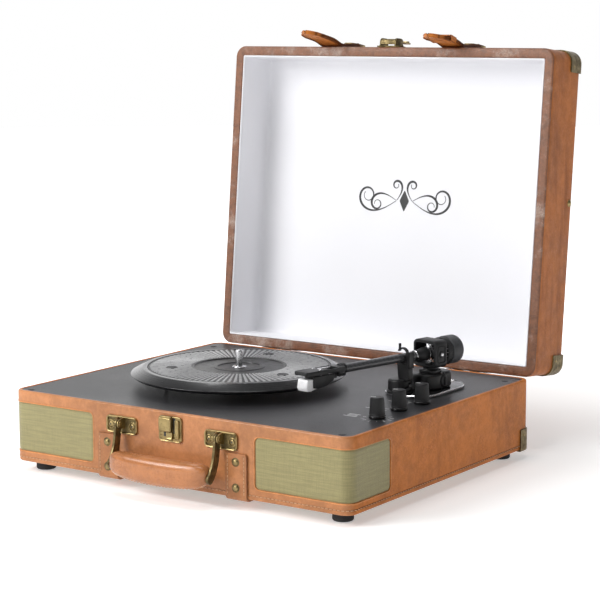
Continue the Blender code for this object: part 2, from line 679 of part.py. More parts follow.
def build_rest(root, clip, black):
    """A round housing carries the rest post. The post's outer prong carries the clip's hinge."""
    low = DECK_Z + GAP + PLATE_THICK + GAP
    high = low + REST_TALL
    drum = [(REST_RADIUS, low), (REST_RADIUS, high - 0.001), (REST_RADIUS - 0.001, high)]
    x, y = arm_point(REST_REACH)
    saddle = TUBE_UNDER - SADDLE_GAP
    post = moved(box((-0.0045, -0.0035, high - 0.002), (0.0095, 0.0035, saddle)), (x, y, 0), -ARM_ANGLE, "Z")
    pivot_x, pivot_z = CLIP_PIVOT
    prong_top = ARM_Z + pivot_z + 0.0022
    prong = box((pivot_x - 0.0022, -0.0035, saddle - 0.001), (pivot_x + 0.0018, 0.0035, prong_top))
    prong = moved(prong, (x, y, 0), -ARM_ANGLE, "Z")
    half_slot = CLIP_WIDE / 4 + GAP
    slot = box((pivot_x - 0.005, -half_slot, ARM_Z - 0.0008), (pivot_x + 0.005, half_slot, ARM_Z + 0.02))
    slot = moved(slot, (x, y, 0), -ARM_ANGLE, "Z")
    pin_hole = rod_y(CLIP_PIN + RUNNING, -0.004, 0.004, (pivot_x, ARM_Z + pivot_z), 10)
    pin_hole = moved(pin_hole, (x, y, 0), -ARM_ANGLE, "Z")
    lift_x, lift_y = arm_point(LIFT_REACH, -0.0035)
    lift_bore = prism(circle(LIFT_PIN + RUNNING, 12, (lift_x, lift_y)), low + 0.001, high + GAP)
    face_x = REST_X + REST_RADIUS
    axle = (REST_Y, low + CUE_AXLE_RISE)
    lever_bore = rod_x(CUE_AXLE + RUNNING, face_x - 0.004, face_x + 0.002, axle, 10)
    body = moved(turned(drum, 24), (REST_X, REST_Y, 0))
    piece("lift_housing", body, black, root, (REST_X, REST_Y, low), add=[post, prong],
          cut=[slot, pin_hole, lift_bore, lever_bore])

    inner, outer = TUBE_RADIUS + CLIP_CLEAR, TUBE_RADIUS + CLIP_CLEAR + CLIP_THICK
    arc = [radians(20 + 155 * step / 10) for step in range(11)]
    hook = [(outer * cos(a) - pivot_x, outer * sin(a) - pivot_z) for a in arc]
    hook += [(inner * cos(a) - pivot_x, inner * sin(a) - pivot_z) for a in arc[::-1]]
    half = CLIP_WIDE / 4
    shape = upright(hook, -half, half)
    hub = rod_y(0.0018, -half - 0.0001, half + 0.0001, (0, 0), 12)
    pin = rod_y(CLIP_PIN, -0.0032, 0.0032, (0, 0), 10)
    web = box((-0.0034, 0.0003 - half, -0.0006), (-0.0005, half - 0.0003, 0.0010))
    edge = -outer - pivot_x
    tab_outline = [(0.0013, -0.0015), (0.0005, -0.0015), (-0.0016, 0.0040), (-0.0004, 0.0044)]
    tab_outline = [(edge + px, pz) for px, pz in tab_outline]
    tab = upright(tab_outline, 0.0002 - half, half - 0.0002)
    parts = [hub, pin, web, tab]
    shape = moved(shape, turn=CLIP_OPEN, axis="Y")
    parts = [moved(part, turn=CLIP_OPEN, axis="Y") for part in parts]
    piece("rest_clip", shape, black, clip, add=parts)


def build_lift(slide, lever, black):
    """An arc-shaped bar under the tube on a pin, and the lever that raises it."""
    x, y = arm_point(LIFT_REACH, -0.0035)
    top = TUBE_UNDER - LIFT_CLEAR - LIFT_TRAVEL
    thick = 0.0016
    start, end = radians(-90 - ARM_ANGLE + 6), radians(-90 - ARM_ANGLE - 30)
    inner, outer = LIFT_REACH - 0.0020, LIFT_REACH + 0.0020
    angles = [start + (end - start) * step / 6 for step in range(7)]
    outline = [(PIVOT_X + inner * cos(a), PIVOT_Y + inner * sin(a)) for a in angles]
    outline += [(PIVOT_X + outer * cos(a), PIVOT_Y + outer * sin(a)) for a in angles[::-1]]
    bar = prism(outline, top - thick, top)
    low = DECK_Z + 2 * GAP + PLATE_THICK
    pin = prism(circle(LIFT_PIN, 12, (x, y)), low + 0.002, top - thick / 2)
    piece("lift_platform", bar, black, slide, (x, y, top), add=[pin])

    hub_x = REST_X + REST_RADIUS + GAP
    hub = rod_x(0.0033, hub_x, hub_x + 0.0030, (0, 0), 14)
    axle = rod_x(CUE_AXLE, hub_x - 0.0030, hub_x + 0.0010, (0, 0), 10)
    stick = moved(box((hub_x + 0.0008, -CUE_LONG, -0.0009), (hub_x + 0.0026, 0, 0.0009)), turn=CUE_DROP)
    knob = turned([(0.0012, -0.0022), (0.0024, -0.001), (0.0024, 0.001), (0.0012, 0.0022)], 10)
    knob = moved(moved(knob, (hub_x + 0.0017, -CUE_LONG, 0)), turn=CUE_DROP)
    axle_z = low + CUE_AXLE_RISE
    for part in (hub, axle, stick, knob):
        bmesh.ops.translate(part, vec=(0, REST_Y, axle_z), verts=part.verts)
    piece("cue_lever", hub, black, lever, (hub_x, REST_Y, axle_z), add=[axle, stick, knob])


# ---- Controls ----
def build_controls(root, axes, black, board):
    """Three knobs on the shafts of three controls, which stand on a circuit board under the deck."""
    gap = 0.0008
    for name, (x, y) in KNOB_PLACES.items():
        profile = [
            (POT_SHAFT + RUNNING, gap),
            (KNOB_SKIRT, gap),
            (KNOB_SKIRT, gap + 0.0018),
            (KNOB_RADIUS, gap + 0.0030),
            (KNOB_TOP_RADIUS, gap + KNOB_TALL - 0.0008),
            (KNOB_TOP_RADIUS - 0.0008, gap + KNOB_TALL),
            (0.0010, gap + KNOB_TALL),
        ]
        shape = turned([(POT_SHAFT + RUNNING, gap + POT_BORE_DEEP)] + profile, 24)
        piece(name, shape, black, axes[name])

    xs = [x for x, _ in KNOB_PLACES.values()]
    ys = [y for _, y in KNOB_PLACES.values()]
    top = DECK_UNDER - GAP - POT_TALL
    low_corner = (min(xs) - 0.020, min(ys) - 0.014, top - BOARD_THICK)
    high_corner = (WIDTH / 2 - WALL - 0.002, max(ys) + 0.014, top)
    parts = []
    for x, y in KNOB_PLACES.values():
        body_low = (x - POT_HALF, y - POT_HALF, top - BOARD_THICK / 2)
        parts.append(box(body_low, (x + POT_HALF, y + POT_HALF, DECK_UNDER - GAP)))
        shaft_top = DECK_Z + gap + POT_BORE_DEEP - GAP
        parts.append(prism(circle(POT_SHAFT, 16, (x, y)), DECK_UNDER - 0.002, shaft_top))
    sink_y, under = (ys[0] + ys[1]) / 2, top - BOARD_THICK
    sink_low = (xs[0] - 0.018, sink_y - 0.006, under - 0.012)
    parts.append(box(sink_low, (xs[0], sink_y + 0.006, under + BOARD_THICK / 2)))
    piece("control_board", box(low_corner, high_corner), board, root, low_corner, add=parts)


# ---- Front hardware ----
def build_handle(root, swing, leather, brass):
    pin_y = FRONT_Y - HANDLE_PIN_OUT
    half_arm = ARM_THICK / 2
    ear = EAR_THICK
    face_y = FRONT_Y - GAP - PLATE_METAL
    inside = face_y + PLATE_METAL / 2
    half_turn = [pi / 2 + pi * step / 8 for step in range(9)]
    for name, side in (("left", -1), ("right", 1)):
        x = side * BRACKET_X
        face = [(px + x, pz + BRACKET_MIDDLE) for px, pz in rounded(BRACKET_WIDE, BRACKET_TALL, 0.002, 2)]
        plate = upright(face, face_y, FRONT_Y - GAP)
        parts = []
        for edge in (-1, 1):
            low = x + edge * (half_arm + GAP) - (ear if edge < 0 else 0)
            outline = [(inside, HANDLE_PIN_Z - 0.0055), (inside, HANDLE_PIN_Z + 0.0050)]
            outline += [(pin_y + EAR_RADIUS * cos(a), HANDLE_PIN_Z + EAR_RADIUS * sin(a)) for a in half_turn]
            parts.append(sideways(outline, low, low + ear))
            screw = (x + edge * SCREW_SPREAD, BRACKET_MIDDLE)
            parts.append(rod_y(SCREW_RADIUS, face_y - SCREW_RISE, inside, screw, 12))
        pin_half = half_arm + GAP + ear + 0.0006
        parts.append(rod_x(HANDLE_PIN_RADIUS, x - pin_half, x + pin_half, (pin_y, HANDLE_PIN_Z), 14))
        piece(f"handle_bracket_{name}", plate, brass, root, (x, FRONT_Y, BRACKET_MIDDLE), add=parts)

        foot_y, foot_z = -ARM_LEAN, -ARM_DROP
        lean = atan2(-foot_y, -foot_z)
        across = Vector((cos(lean), -sin(lean))) * ARM_WIDE / 2
        bar = [(-across.x, -across.y), (foot_y - across.x, foot_z - across.y)]
        bar += [(foot_y + ARM_WIDE / 2 * cos(a), foot_z + ARM_WIDE / 2 * sin(a)) for a in
                [pi - lean + (pi * step / 6) for step in range(1, 6)]]
        bar += [(foot_y + across.x, foot_z + across.y), (across.x, across.y)]
        shape = sideways(bar, x - half_arm, x + half_arm)
        eye = rod_x(EYE_RADIUS, x - half_arm, x + half_arm, (0, 0), 18)
        hole = rod_x(HANDLE_PIN_RADIUS + RUNNING, x - 0.01, x + 0.01, (0, 0), 14)
        piece(f"handle_arm_{name}", shape, brass, swing, (x, 0, 0), add=[eye], cut=[hole])

    reach = BRACKET_X - half_arm - GAP
    sections = []
    for step in range(13):
        t = -1 + step / 6
        swell = 1 - 0.35 * abs(t) ** 3
        bow = GRIP_BOW * (1 - t * t)
        middle = (-ARM_LEAN - 0.001 - bow * 0.35, -ARM_DROP + 0.003 - bow * 0.5)
        ring = rounded(GRIP_THICK * swell, GRIP_TALL * (1 - 0.2 * abs(t) ** 3), 0.0060 * swell, 3, middle)
        sections.append([Vector((t * reach, y, z)) for y, z in ring])
    piece("handle_grip", loft(sections), leather, swing, (0, 0, 0))


def build_latch(root, lever, brass):
    face = [(x, z + LATCH_MIDDLE) for x, z in rounded(LATCH_WIDE, LATCH_TALL, 0.002, 2)]
    back = FRONT_Y - GAP
    plate = upright(face, back - PLATE_METAL, back)
    box_top = LATCH_MIDDLE + LATCH_TALL / 2 - 0.0008
    box_low = box_top - LATCH_BOX_TALL
    half = LATCH_BOX_WIDE / 2
    cover = box((-half, back - LATCH_BOX_OUT, box_low), (half, back - PLATE_METAL / 2, box_top))
    window_half = 0.0050
    window_low = (-window_half, back - LATCH_BOX_OUT - GAP, box_low + 0.0038)
    window = box(window_low, (window_half, back - 0.0022, box_top - 0.0032))
    parts = [cover]
    pin_z = box_low - 0.0024
    pin_y = back - PLATE_METAL - 0.0022
    for side in (-1, 1):
        low = 0.0062 if side > 0 else -0.0084
        lug_high = (low + 0.0022, back - PLATE_METAL / 2, pin_z + 0.0030)
        parts.append(box((low, pin_y - 0.0020, pin_z - 0.0020), lug_high))
    bores = rod_x(0.0009 + RUNNING, -0.0078, 0.0078, (pin_y, pin_z), 10)
    piece("latch_plate", plate, brass, root, (0, FRONT_Y, LATCH_MIDDLE), add=parts, cut=[window, bores])

    tongue = [(-0.0011, 0.0011), (0.0010, 0.0011), (0.0010, -0.0074)]
    tongue += [(-0.0012, -0.0092), (-0.0026, -0.0088), (-0.0011, -0.0066)]
    shape = sideways(tongue, -0.0058, 0.0058)
    axle = rod_x(0.0009, -0.0074, 0.0074, (0, 0), 10)
    piece("latch_lever", shape, brass, lever, add=[axle])
    return pin_y, pin_z


def build_lower_straps(root, leather):
    """A strap runs down the front wall and back under the base, as one bent band."""
    inner_y, inner_z = FRONT_Y - GAP, FOOT_HEIGHT - GAP
    bend, end_y = STRAP_BEND, FRONT_Y + STRAP_UNDER
    reach = bend + STRAP_THICK
    arc = [pi + pi / 2 * step / 4 for step in range(5)]
    for name, side in (("left", -1), ("right", 1)):
        x = side * STRAP_X
        outline = [(inner_y, STRAP_TOP), (inner_y - STRAP_THICK, STRAP_TOP)]
        outline += [(inner_y + bend + reach * cos(a), inner_z + bend + reach * sin(a)) for a in arc]
        outline += [(end_y, inner_z - STRAP_THICK), (end_y, inner_z), (inner_y, inner_z)]
        low = x - STRAP_WIDE / 2
        shape = sideways(outline, low, low + STRAP_WIDE)
        piece(f"strap_lower_{name}", shape, leather, root, (x, FRONT_Y, STRAP_TOP))


# ---- Lid, in the space of its hinge axis with the lid closed ----
def lid_box(name):
    """Named lid places relative to the hinge axis: y runs back, z runs up from the seam."""
    return {
        "back": -HINGE_OUT,
        "front": -HINGE_OUT - DEPTH,
        "middle": -HINGE_OUT - DEPTH / 2,
        "seam": HINGE_DROP + GAP,
        "top": HINGE_DROP + GAP + LID_HEIGHT,
    }[name]


def build_lid(lid, leather, lining_white):
    middle = (0, lid_box("middle"))
    outer = rounded(WIDTH, DEPTH, CORNER, centre=middle)
    crown = rounded(WIDTH - 2 * LID_SOFT, DEPTH - 2 * LID_SOFT, CORNER - LID_SOFT, centre=middle)
    inner = rounded(WIDTH - 2 * LID_WALL, DEPTH - 2 * LID_WALL, 0.0035, centre=middle)
    seam, top = lid_box("seam"), lid_box("top")
    ceiling = top - LID_PANEL
    sections = [level(inner, ceiling), level(inner, seam), level(outer, seam)]
    sections += [level(outer, top - LID_SOFT), level(crown, top)]
    piece("lid_shell", loft(sections), leather, lid)

    fit = 2 * (LID_WALL + GAP)
    cloth = rounded(WIDTH - fit, DEPTH - fit, 0.0032, centre=middle)
    fit += 2 * LINING_THICK
    inside = rounded(WIDTH - fit, DEPTH - fit, 0.0032 - LINING_THICK, centre=middle)
    low, high = seam + 2 * GAP, ceiling - GAP
    sections = [level(inside, high - LINING_THICK), level(inside, low), level(cloth, low), level(cloth, high)]
    piece("lid_lining", loft(sections), lining_white, lid)


def build_hinges(root, lid, steel):
    """Each leaf lies on its wall and carries alternate knuckles. The base leaf also carries the pin."""
    knuckle = HINGE_OUT - GAP
    count = 5
    pin = 0.0011
    for name, side in (("left", -1), ("right", 1)):
        x0 = side * HINGE_SPREAD - HINGE_LENGTH / 2
        step = HINGE_LENGTH / count
        wall = -HINGE_OUT
        leaf_out = wall + GAP + LEAF_THICK
        leaf = box((x0, wall + GAP, -LEAF_HEIGHT), (x0 + HINGE_LENGTH, leaf_out, -knuckle - GAP))
        spans = [(x0 + i * step + GAP / 2, x0 + (i + 1) * step - GAP / 2) for i in range(count)]
        rolls = [rod_x(knuckle - LEAF_THICK * 0.2, low, high, (0, 0), 14) for low, high in spans]
        base_knuckles, lid_knuckles = rolls[::2], rolls[1::2]
        webs = [box((low, wall + GAP, -knuckle - 0.001), (high, leaf_out, 0)) for low, high in spans[::2]]
        rod = rod_x(pin, x0 + 0.001, x0 + HINGE_LENGTH - 0.001, (0, 0), 12)
        for shape in [leaf, *base_knuckles, *webs, rod]:
            bmesh.ops.translate(shape, vec=(0, HINGE_Y, HINGE_Z), verts=shape.verts)
        piece(f"hinge_base_{name}", leaf, steel, root, (side * HINGE_SPREAD, HINGE_Y, HINGE_Z),
              add=[*base_knuckles, *webs, rod])

        low_z = lid_box("seam") + GAP
        leaf = box((x0, wall + GAP, low_z), (x0 + HINGE_LENGTH, leaf_out, LEAF_HEIGHT + low_z))
        webs = [box((low, wall + GAP, 0), (high, leaf_out, low_z + 0.001)) for low, high in spans[1::2]]
        bore = rod_x(pin + RUNNING, x0, x0 + HINGE_LENGTH, (0, 0), 12)
        where = (side * HINGE_SPREAD, 0, 0)
        piece(f"hinge_lid_{name}", leaf, steel, lid, where, add=[*lid_knuckles, *webs], cut=[bore])


def build_lid_hardware(lid, hasp, leather, brass):
    front, seam = lid_box("front"), lid_box("seam")
    out = front - GAP
    for name, side in (("left", -1), ("right", 1)):
        x = side * STRAP_X
        sections = []
        root_z = seam + STRAP_LID_LONG
        lift_z = seam + 0.012
        tip_z = seam - STRAP_FREE
        for z in (root_z, lift_z, seam - 0.008, seam - 0.024, tip_z + 0.006, tip_z):
            rise = STRAP_RISE * max(0.0, (lift_z - z) / (lift_z - tip_z))
            half = STRAP_WIDE / 2 if z > tip_z else STRAP_WIDE * 0.3
            y = out - rise
            corners = ((-half, 0), (half, 0), (half, -STRAP_THICK), (-half, -STRAP_THICK))
            sections.append([Vector((x + dx, y + dy, z)) for dx, dy in corners])
        piece(f"strap_upper_{name}", loft(sections), leather, lid, (x, out, root_z))

    block_low, block_high = seam + 0.0015, seam + 0.0170
    tall = HASP_BLOCK_TALL
    face = rounded(CLASP_WIDE, block_high - block_low, 0.002, 2, (0, (block_low + block_high) / 2))
    plate = upright(face, out - PLATE_METAL, out)
    inside = out - PLATE_METAL / 2
    pin_y, pin_z = out - tall + 0.0022, block_high - 0.0040
    lugs = [box((x - 0.0012, out - tall, block_low + 0.002), (x + 0.0012, inside, block_high - 0.0010))
            for x in (-0.0105, 0.0105)]
    bridge = box((-0.0110, out - 0.0046, block_low + 0.002), (0.0110, inside, block_low + 0.0055))
    bore = rod_x(0.0010 + RUNNING, -0.012, 0.012, (pin_y, pin_z), 12)
    piece("lid_latch", plate, brass, lid, (0, front, seam), add=[*lugs, bridge], cut=[bore])

    half = HASP_WIDE / 2
    flat = HASP_THICK / 2
    tongue = [(-flat, -0.0016), (flat, -0.0016), (flat, HASP_LONG), (-flat, HASP_LONG + 0.001)]
    shape = sideways(tongue, -half, half)
    axle = rod_x(0.0010, -0.0114, 0.0114, (0, 0), 12)
    nub = box((-0.0035, -0.0046, 0.0080), (0.0035, -0.0004, 0.0120))
    hook = box((-0.0045, -0.0030, HASP_LONG - 0.0040), (0.0045, -0.0004, HASP_LONG - 0.0012))
    piece("hasp", shape, brass, hasp, add=[axle, nub, hook])
    return pin_y, pin_z


def guard_piece(name, parent, brass, corner, signs):
    """The guard's outer shape follows the case's upright corner, and the case's own corner is cut from it."""
    sx, sy, sz = signs
    x, y, z = corner
    thick = GAP + GUARD_THICK
    leg = GUARD_LEG
    radius = CORNER + thick
    centre = (x - sx * CORNER, y - sy * CORNER)

    def plan(grow, length):
        points = [(x - sx * length, y + sy * grow)]
        for step in range(6):
            angle = pi / 2 - step / 5 * pi / 2
            reach = CORNER + grow
            points.append((centre[0] + sx * reach * cos(angle), centre[1] + sy * reach * sin(angle)))
        points.append((x + sx * grow, y - sy * length))
        return points

    outer = plan(thick, leg)
    skirt = outer + plan(GAP, leg)[::-1]
    low, high = sorted((z + sz * thick, z - sz * leg))
    cap_low, cap_high = sorted((z + sz * GAP, z + sz * thick))
    notch = (x - sx * leg * GUARD_NOTCH, y - sy * leg * GUARD_NOTCH)
    cap = prism(outer + [notch], cap_low, cap_high)
    piece(name, prism(skirt, low, high), brass, parent, (x, y, z), add=[cap])


def build_guards(root, lid, brass):
    front, back, top = lid_box("front"), lid_box("back"), lid_box("top")
    for name, sx in (("left", -1), ("right", 1)):
        x = sx * WIDTH / 2
        guard_piece(f"corner_base_{name}", root, brass, (x, BACK_Y, FOOT_HEIGHT), (sx, 1, -1))
        guard_piece(f"corner_lid_front_{name}", lid, brass, (x, front, top), (sx, -1, 1))
        guard_piece(f"corner_lid_rear_{name}", lid, brass, (x, back, top), (sx, 1, 1))


def centre_on_floor(root):
    """Moves the whole player so that its origin is under the middle of its box, on the floor."""
    bpy.context.view_layer.update()
    graph = bpy.context.evaluated_depsgraph_get()
    corners = []
    for thing in bpy.context.scene.objects:
        if thing.type == "MESH" and not thing.hide_render:
            shown = thing.evaluated_get(graph)
            corners += [shown.matrix_world @ vertex.co for vertex in shown.data.vertices]
    middle_y = (min(c.y for c in corners) + max(c.y for c in corners)) / 2
    root.location.y -= middle_y


def main():
    clear_scene()
    leather = finish("tan_leather", (0.42, 0.19, 0.075), 0.5)
    wood = finish("board", (0.30, 0.22, 0.15), 0.8)
    vinyl = finish("black_vinyl", (0.035, 0.035, 0.038), 0.55)
    rubber = finish("rubber", (0.02, 0.02, 0.02), 0.8)
    cloth = finish("grille_cloth", (0.33, 0.29, 0.13), 0.7)
    steel = finish("steel", (0.62, 0.62, 0.62), 0.3, 1.0)
    platter_metal = finish("dark_metal", (0.16, 0.16, 0.17), 0.35, 0.9)
    black = finish("black_plastic", (0.02, 0.02, 0.022), 0.4)
    gloss = finish("gloss_plastic", (0.03, 0.03, 0.03), 0.15)
    carbon = finish("dark_tube", (0.03, 0.03, 0.035), 0.3)
    grey = finish("weight_metal", (0.10, 0.10, 0.11), 0.45, 0.7)
    white = finish("white_plastic", (0.80, 0.80, 0.80), 0.4)
    brass = finish("antique_brass", (0.42, 0.34, 0.17), 0.35, 1.0)
    lining = finish("white_lining", (0.90, 0.90, 0.93), 0.85)
    board = finish("green_board", (0.05, 0.20, 0.08), 0.6)

    root = empty("player")
    build_case(root, leather, wood, vinyl, rubber)
    build_rear_panel(root, black)
    build_speakers(root, cloth, steel)

    platter_axis = empty("platter_axis", (PLATTER_X, PLATTER_Y, DECK_Z), root)
    pulley_axis = empty("pulley_axis", (*pulley_place(), DECK_Z), root)
    build_drive(root, platter_axis, pulley_axis, platter_metal, rubber, steel, black)

    turn = (0, 0, radians(-ARM_ANGLE))
    swing = empty("swing_axis", (PIVOT_X, PIVOT_Y, ARM_Z), root, turn)
    pitch = empty("pitch_axis", (0, 0, 0), swing)
    weight_slide = empty("weight_slide_axis", (0, 0, 0), pitch)
    weight_turn = empty("weight_turn_axis", (0, 0, 0), weight_slide)
    clip_x, clip_y = arm_point(REST_REACH, CLIP_PIVOT[0])
    clip = empty("clip_axis", (clip_x, clip_y, ARM_Z + CLIP_PIVOT[1]), root, turn)
    build_tonearm(root, swing, pitch, clip, black, gloss, carbon, white, steel)
    build_weight(weight_slide, weight_turn, black, grey)
    build_lift(root, root, black)

    axes = {name: empty(f"{name}_axis", (x, y, DECK_Z), root) for name, (x, y) in KNOB_PLACES.items()}
    build_controls(root, axes, black, board)

    handle = empty("handle_axis", (0, FRONT_Y - HANDLE_PIN_OUT, HANDLE_PIN_Z), root)
    build_handle(root, handle, leather, brass)
    latch = empty("latch_axis", (0, 0, 0), root)
    latch_y, latch_z = build_latch(root, latch, brass)
    latch.location = (0, latch_y, latch_z)
    build_lower_straps(root, leather)

    lid = empty("lid_axis", (0, HINGE_Y, HINGE_Z), root, (radians(-LID_OPEN), 0, 0))
    build_lid(lid, leather, lining)
    build_hinges(root, lid, steel)
    hasp = empty("hasp_axis", (0, 0, 0), lid)
    hasp_y, hasp_z = build_lid_hardware(lid, hasp, leather, brass)
    hasp.location = (0, hasp_y, hasp_z)
    build_guards(root, lid, brass)
    centre_on_floor(root)


main()
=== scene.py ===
"""Looks for a suitcase record player: leather, brass, cloth and plastic surfaces around its fixed frame."""

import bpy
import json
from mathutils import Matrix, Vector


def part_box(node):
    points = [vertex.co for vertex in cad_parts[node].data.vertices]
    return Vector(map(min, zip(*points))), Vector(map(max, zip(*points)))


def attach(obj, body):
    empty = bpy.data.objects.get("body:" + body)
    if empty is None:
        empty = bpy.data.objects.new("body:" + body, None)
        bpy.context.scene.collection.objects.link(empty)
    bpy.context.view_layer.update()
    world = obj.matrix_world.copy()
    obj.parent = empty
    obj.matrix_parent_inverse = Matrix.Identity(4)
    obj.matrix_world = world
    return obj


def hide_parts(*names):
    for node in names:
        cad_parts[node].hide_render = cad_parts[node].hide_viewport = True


bl_info = {
    "name": "Suitcase record player looks",
    "version": (1, 0, 0),
    "blender": (4, 5, 0),
    "location": "3D View > Sidebar > Player",
    "description": "Builds the surfaces and materials of a suitcase record player",
    "category": "Object",
}

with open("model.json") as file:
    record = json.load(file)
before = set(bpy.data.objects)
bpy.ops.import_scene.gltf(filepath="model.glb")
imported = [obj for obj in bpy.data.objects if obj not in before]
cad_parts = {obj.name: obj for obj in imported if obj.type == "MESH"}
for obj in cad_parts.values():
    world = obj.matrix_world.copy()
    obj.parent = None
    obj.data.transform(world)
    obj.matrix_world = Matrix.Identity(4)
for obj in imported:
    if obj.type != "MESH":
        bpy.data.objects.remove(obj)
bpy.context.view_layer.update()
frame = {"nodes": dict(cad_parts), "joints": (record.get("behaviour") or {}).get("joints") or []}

import json
from math import cos, pi, radians, sin

import bpy
import numpy as np
from bpy.props import FloatProperty, FloatVectorProperty, IntProperty, PointerProperty
from mathutils import Matrix, Vector

JOINTS = {joint["name"]: joint for joint in frame["joints"]}


# ---- Places, from the frame ----
def axes(origin, across, up):
    """A placing matrix: local X goes along across, local Y along up, and local Z along their cross
    product."""
    x, y = Vector(across), Vector(up)
    z = x.cross(y)
    return Matrix([[x[i], y[i], z[i], origin[i]] for i in range(3)] + [[0, 0, 0, 1]])


CASE_LOW, CASE_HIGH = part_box("base_frame")
HALF_WIDE = (CASE_HIGH.x - CASE_LOW.x) / 2
HALF_DEEP = (CASE_HIGH.y - CASE_LOW.y) / 2
CASE_Y = (CASE_HIGH.y + CASE_LOW.y) / 2
FRONT_Y, BACK_Y = CASE_LOW.y, CASE_HIGH.y
BASE_TOP, BASE_FOOT = CASE_HIGH.z, CASE_LOW.z
DECK_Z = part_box("deck_plate")[1].z
CORNER = 0.012
LEFT_RIGHT = (("left", -1), ("right", 1))

FRONT = axes((0, FRONT_Y, 0), (1, 0, 0), (0, 0, 1))
REAR = axes((0, BACK_Y, 0), (-1, 0, 0), (0, 0, 1))
DECK = axes((0, 0, DECK_Z), (1, 0, 0), (0, 1, 0))
LID = Matrix.Translation(JOINTS["lid_hinge"]["pos_m"]) @ Matrix.Rotation(
    radians(JOINTS["lid_hinge"]["range_deg"][0]), 4, "X")
STRAP_X, STITCH_LINE = 0.0765, 0.0093  # each strap's middle, and its stitches from there
BRACKET_X = 0.059  # each handle bracket's middle
THREAD = 0.00045  # radius of a stitch
SEAM_HIGH = 0.0046  # the case's lower seam, above its foot
LID_SEAM = 0.0044  # above the hinge axis, in the closed lid's space
LID_TALL = 0.060
LID_BACK = BACK_Y - JOINTS["lid_hinge"]["pos_m"][1]
LID_FRONT_Y = LID_BACK - 2 * HALF_DEEP
LID_FRONT = LID @ axes((0, LID_FRONT_Y, 0), (1, 0, 0), (0, 0, 1))
RIGHTWARD = -Vector(JOINTS["arm_pitch"]["axis"])
PIVOT = Vector(JOINTS["arm_pitch"]["pos_m"])
ARM = axes(PIVOT, RIGHTWARD, Vector((0, 0, 1)).cross(RIGHTWARD))
ALONG_Y = axes((0, 0, 0), (0, 0, 1), (1, 0, 0))


# ---- Shapes ----
def soften(points, radius, steps=3, closed=False):
    """Rounds each corner of a path. Each corner becomes a quadratic curve that starts and ends at radius from
    it, or just under half way to the next corner."""
    p = np.asarray(points, float)
    to_last, to_next = np.roll(p, 1, 0) - p, np.roll(p, -1, 0) - p
    last, after = np.linalg.norm(to_last, axis=1), np.linalg.norm(to_next, axis=1)
    reach = np.minimum(radius, 0.48 * np.minimum(last, after))[:, None]
    start, end = p + to_last / last[:, None] * reach, p + to_next / after[:, None] * reach
    t = np.linspace(0, 1, steps + 1)[None, :, None]
    curve = (1 - t) ** 2 * start[:, None] + 2 * t * (1 - t) * p[:, None] + t**2 * end[:, None]
    if closed:
        return curve.reshape(-1, p.shape[1])
    return np.concatenate([p[:1], curve[1:-1].reshape(-1, p.shape[1]), p[-1:]])


def oblong(wide, tall, radius, steps=5, centre=(0, 0)):
    """A rectangle with round corners, anticlockwise: each quarter circle is centred radius in from its
    corner."""
    angle = (np.arange(4)[:, None] + np.linspace(0, 1, steps + 1)) * pi / 2
    sign = np.array([(1, 1), (-1, 1), (-1, -1), (1, -1)])[:, None]
    middle = sign * (wide / 2 - radius, tall / 2 - radius)
    ring = middle + radius * np.stack([np.cos(angle), np.sin(angle)], -1)
    return ring.reshape(-1, 2) + centre


def disc(radius, steps=32):
    """A circle, anticlockwise."""
    angle = np.linspace(0, 2 * pi, steps, endpoint=False)
    return radius * np.stack([np.cos(angle), np.sin(angle)], 1)


def inset(outline, depth):
    """Moves each point of an anticlockwise outline inwards by depth, along the mean of its two edges'
    normals."""
    edge = np.roll(outline, -1, 0) - outline
    normal = np.stack([-edge[:, 1], edge[:, 0]], 1)
    normal /= np.linalg.norm(normal, axis=1)[:, None]
    mean = normal + np.roll(normal, 1, 0)
    mean /= (mean * mean).sum(1)[:, None] / 2
    return outline + mean * depth


def level_rows(levels):
    """Rows of flat outlines: levels gives each outline with its height."""
    return np.stack([np.column_stack([outline, np.full(len(outline), high)]) for outline, high in levels])


def slab_rows(outline, low, high, edge, steps=3):
    """An extruded outline with round edges: each row is the outline moved in and up round a quarter
    circle."""
    turn = np.linspace(0, pi / 2, steps + 1)
    depth, rise = edge * (1 - np.sin(turn)), edge * (1 - np.cos(turn))
    levels = np.concatenate([low + rise, (high - rise)[::-1]])
    depths = np.concatenate([depth, depth[::-1]])
    return level_rows((inset(outline, d), z) for d, z in zip(depths, levels))


def turned_rows(profile, steps=48):
    """A turned shape: each (radius, height) point of the profile goes round a circle."""
    profile = np.asarray(profile, float)
    angle = np.linspace(0, 2 * pi, steps, endpoint=False)
    ring = np.stack([np.cos(angle), np.sin(angle), np.zeros(steps)], 1)
    return profile[:, 0, None, None] * ring + profile[:, 1, None, None] * np.array([0, 0, 1])


def swept_rows(path, section, side, scale=None):
    """A section carried along a path. Its first coordinate runs along side, which is constant, and its second
    along the cross product of the path's direction and side. scale multiplies the section at each point."""
    path, section = np.asarray(path, float), np.asarray(section, float)
    side = np.asarray(side, float)
    tangent = np.gradient(path, axis=0)
    up = np.cross(np.broadcast_to(side, tangent.shape), tangent)
    up /= np.linalg.norm(up, axis=1)[:, None]
    scale = np.ones((len(path), 2)) if scale is None else np.asarray(scale, float)
    across = section[None, :, 0] * scale[:, :1]
    along = section[None, :, 1] * scale[:, 1:]
    return path[:, None] + across[..., None] * side + along[..., None] * up[:, None]


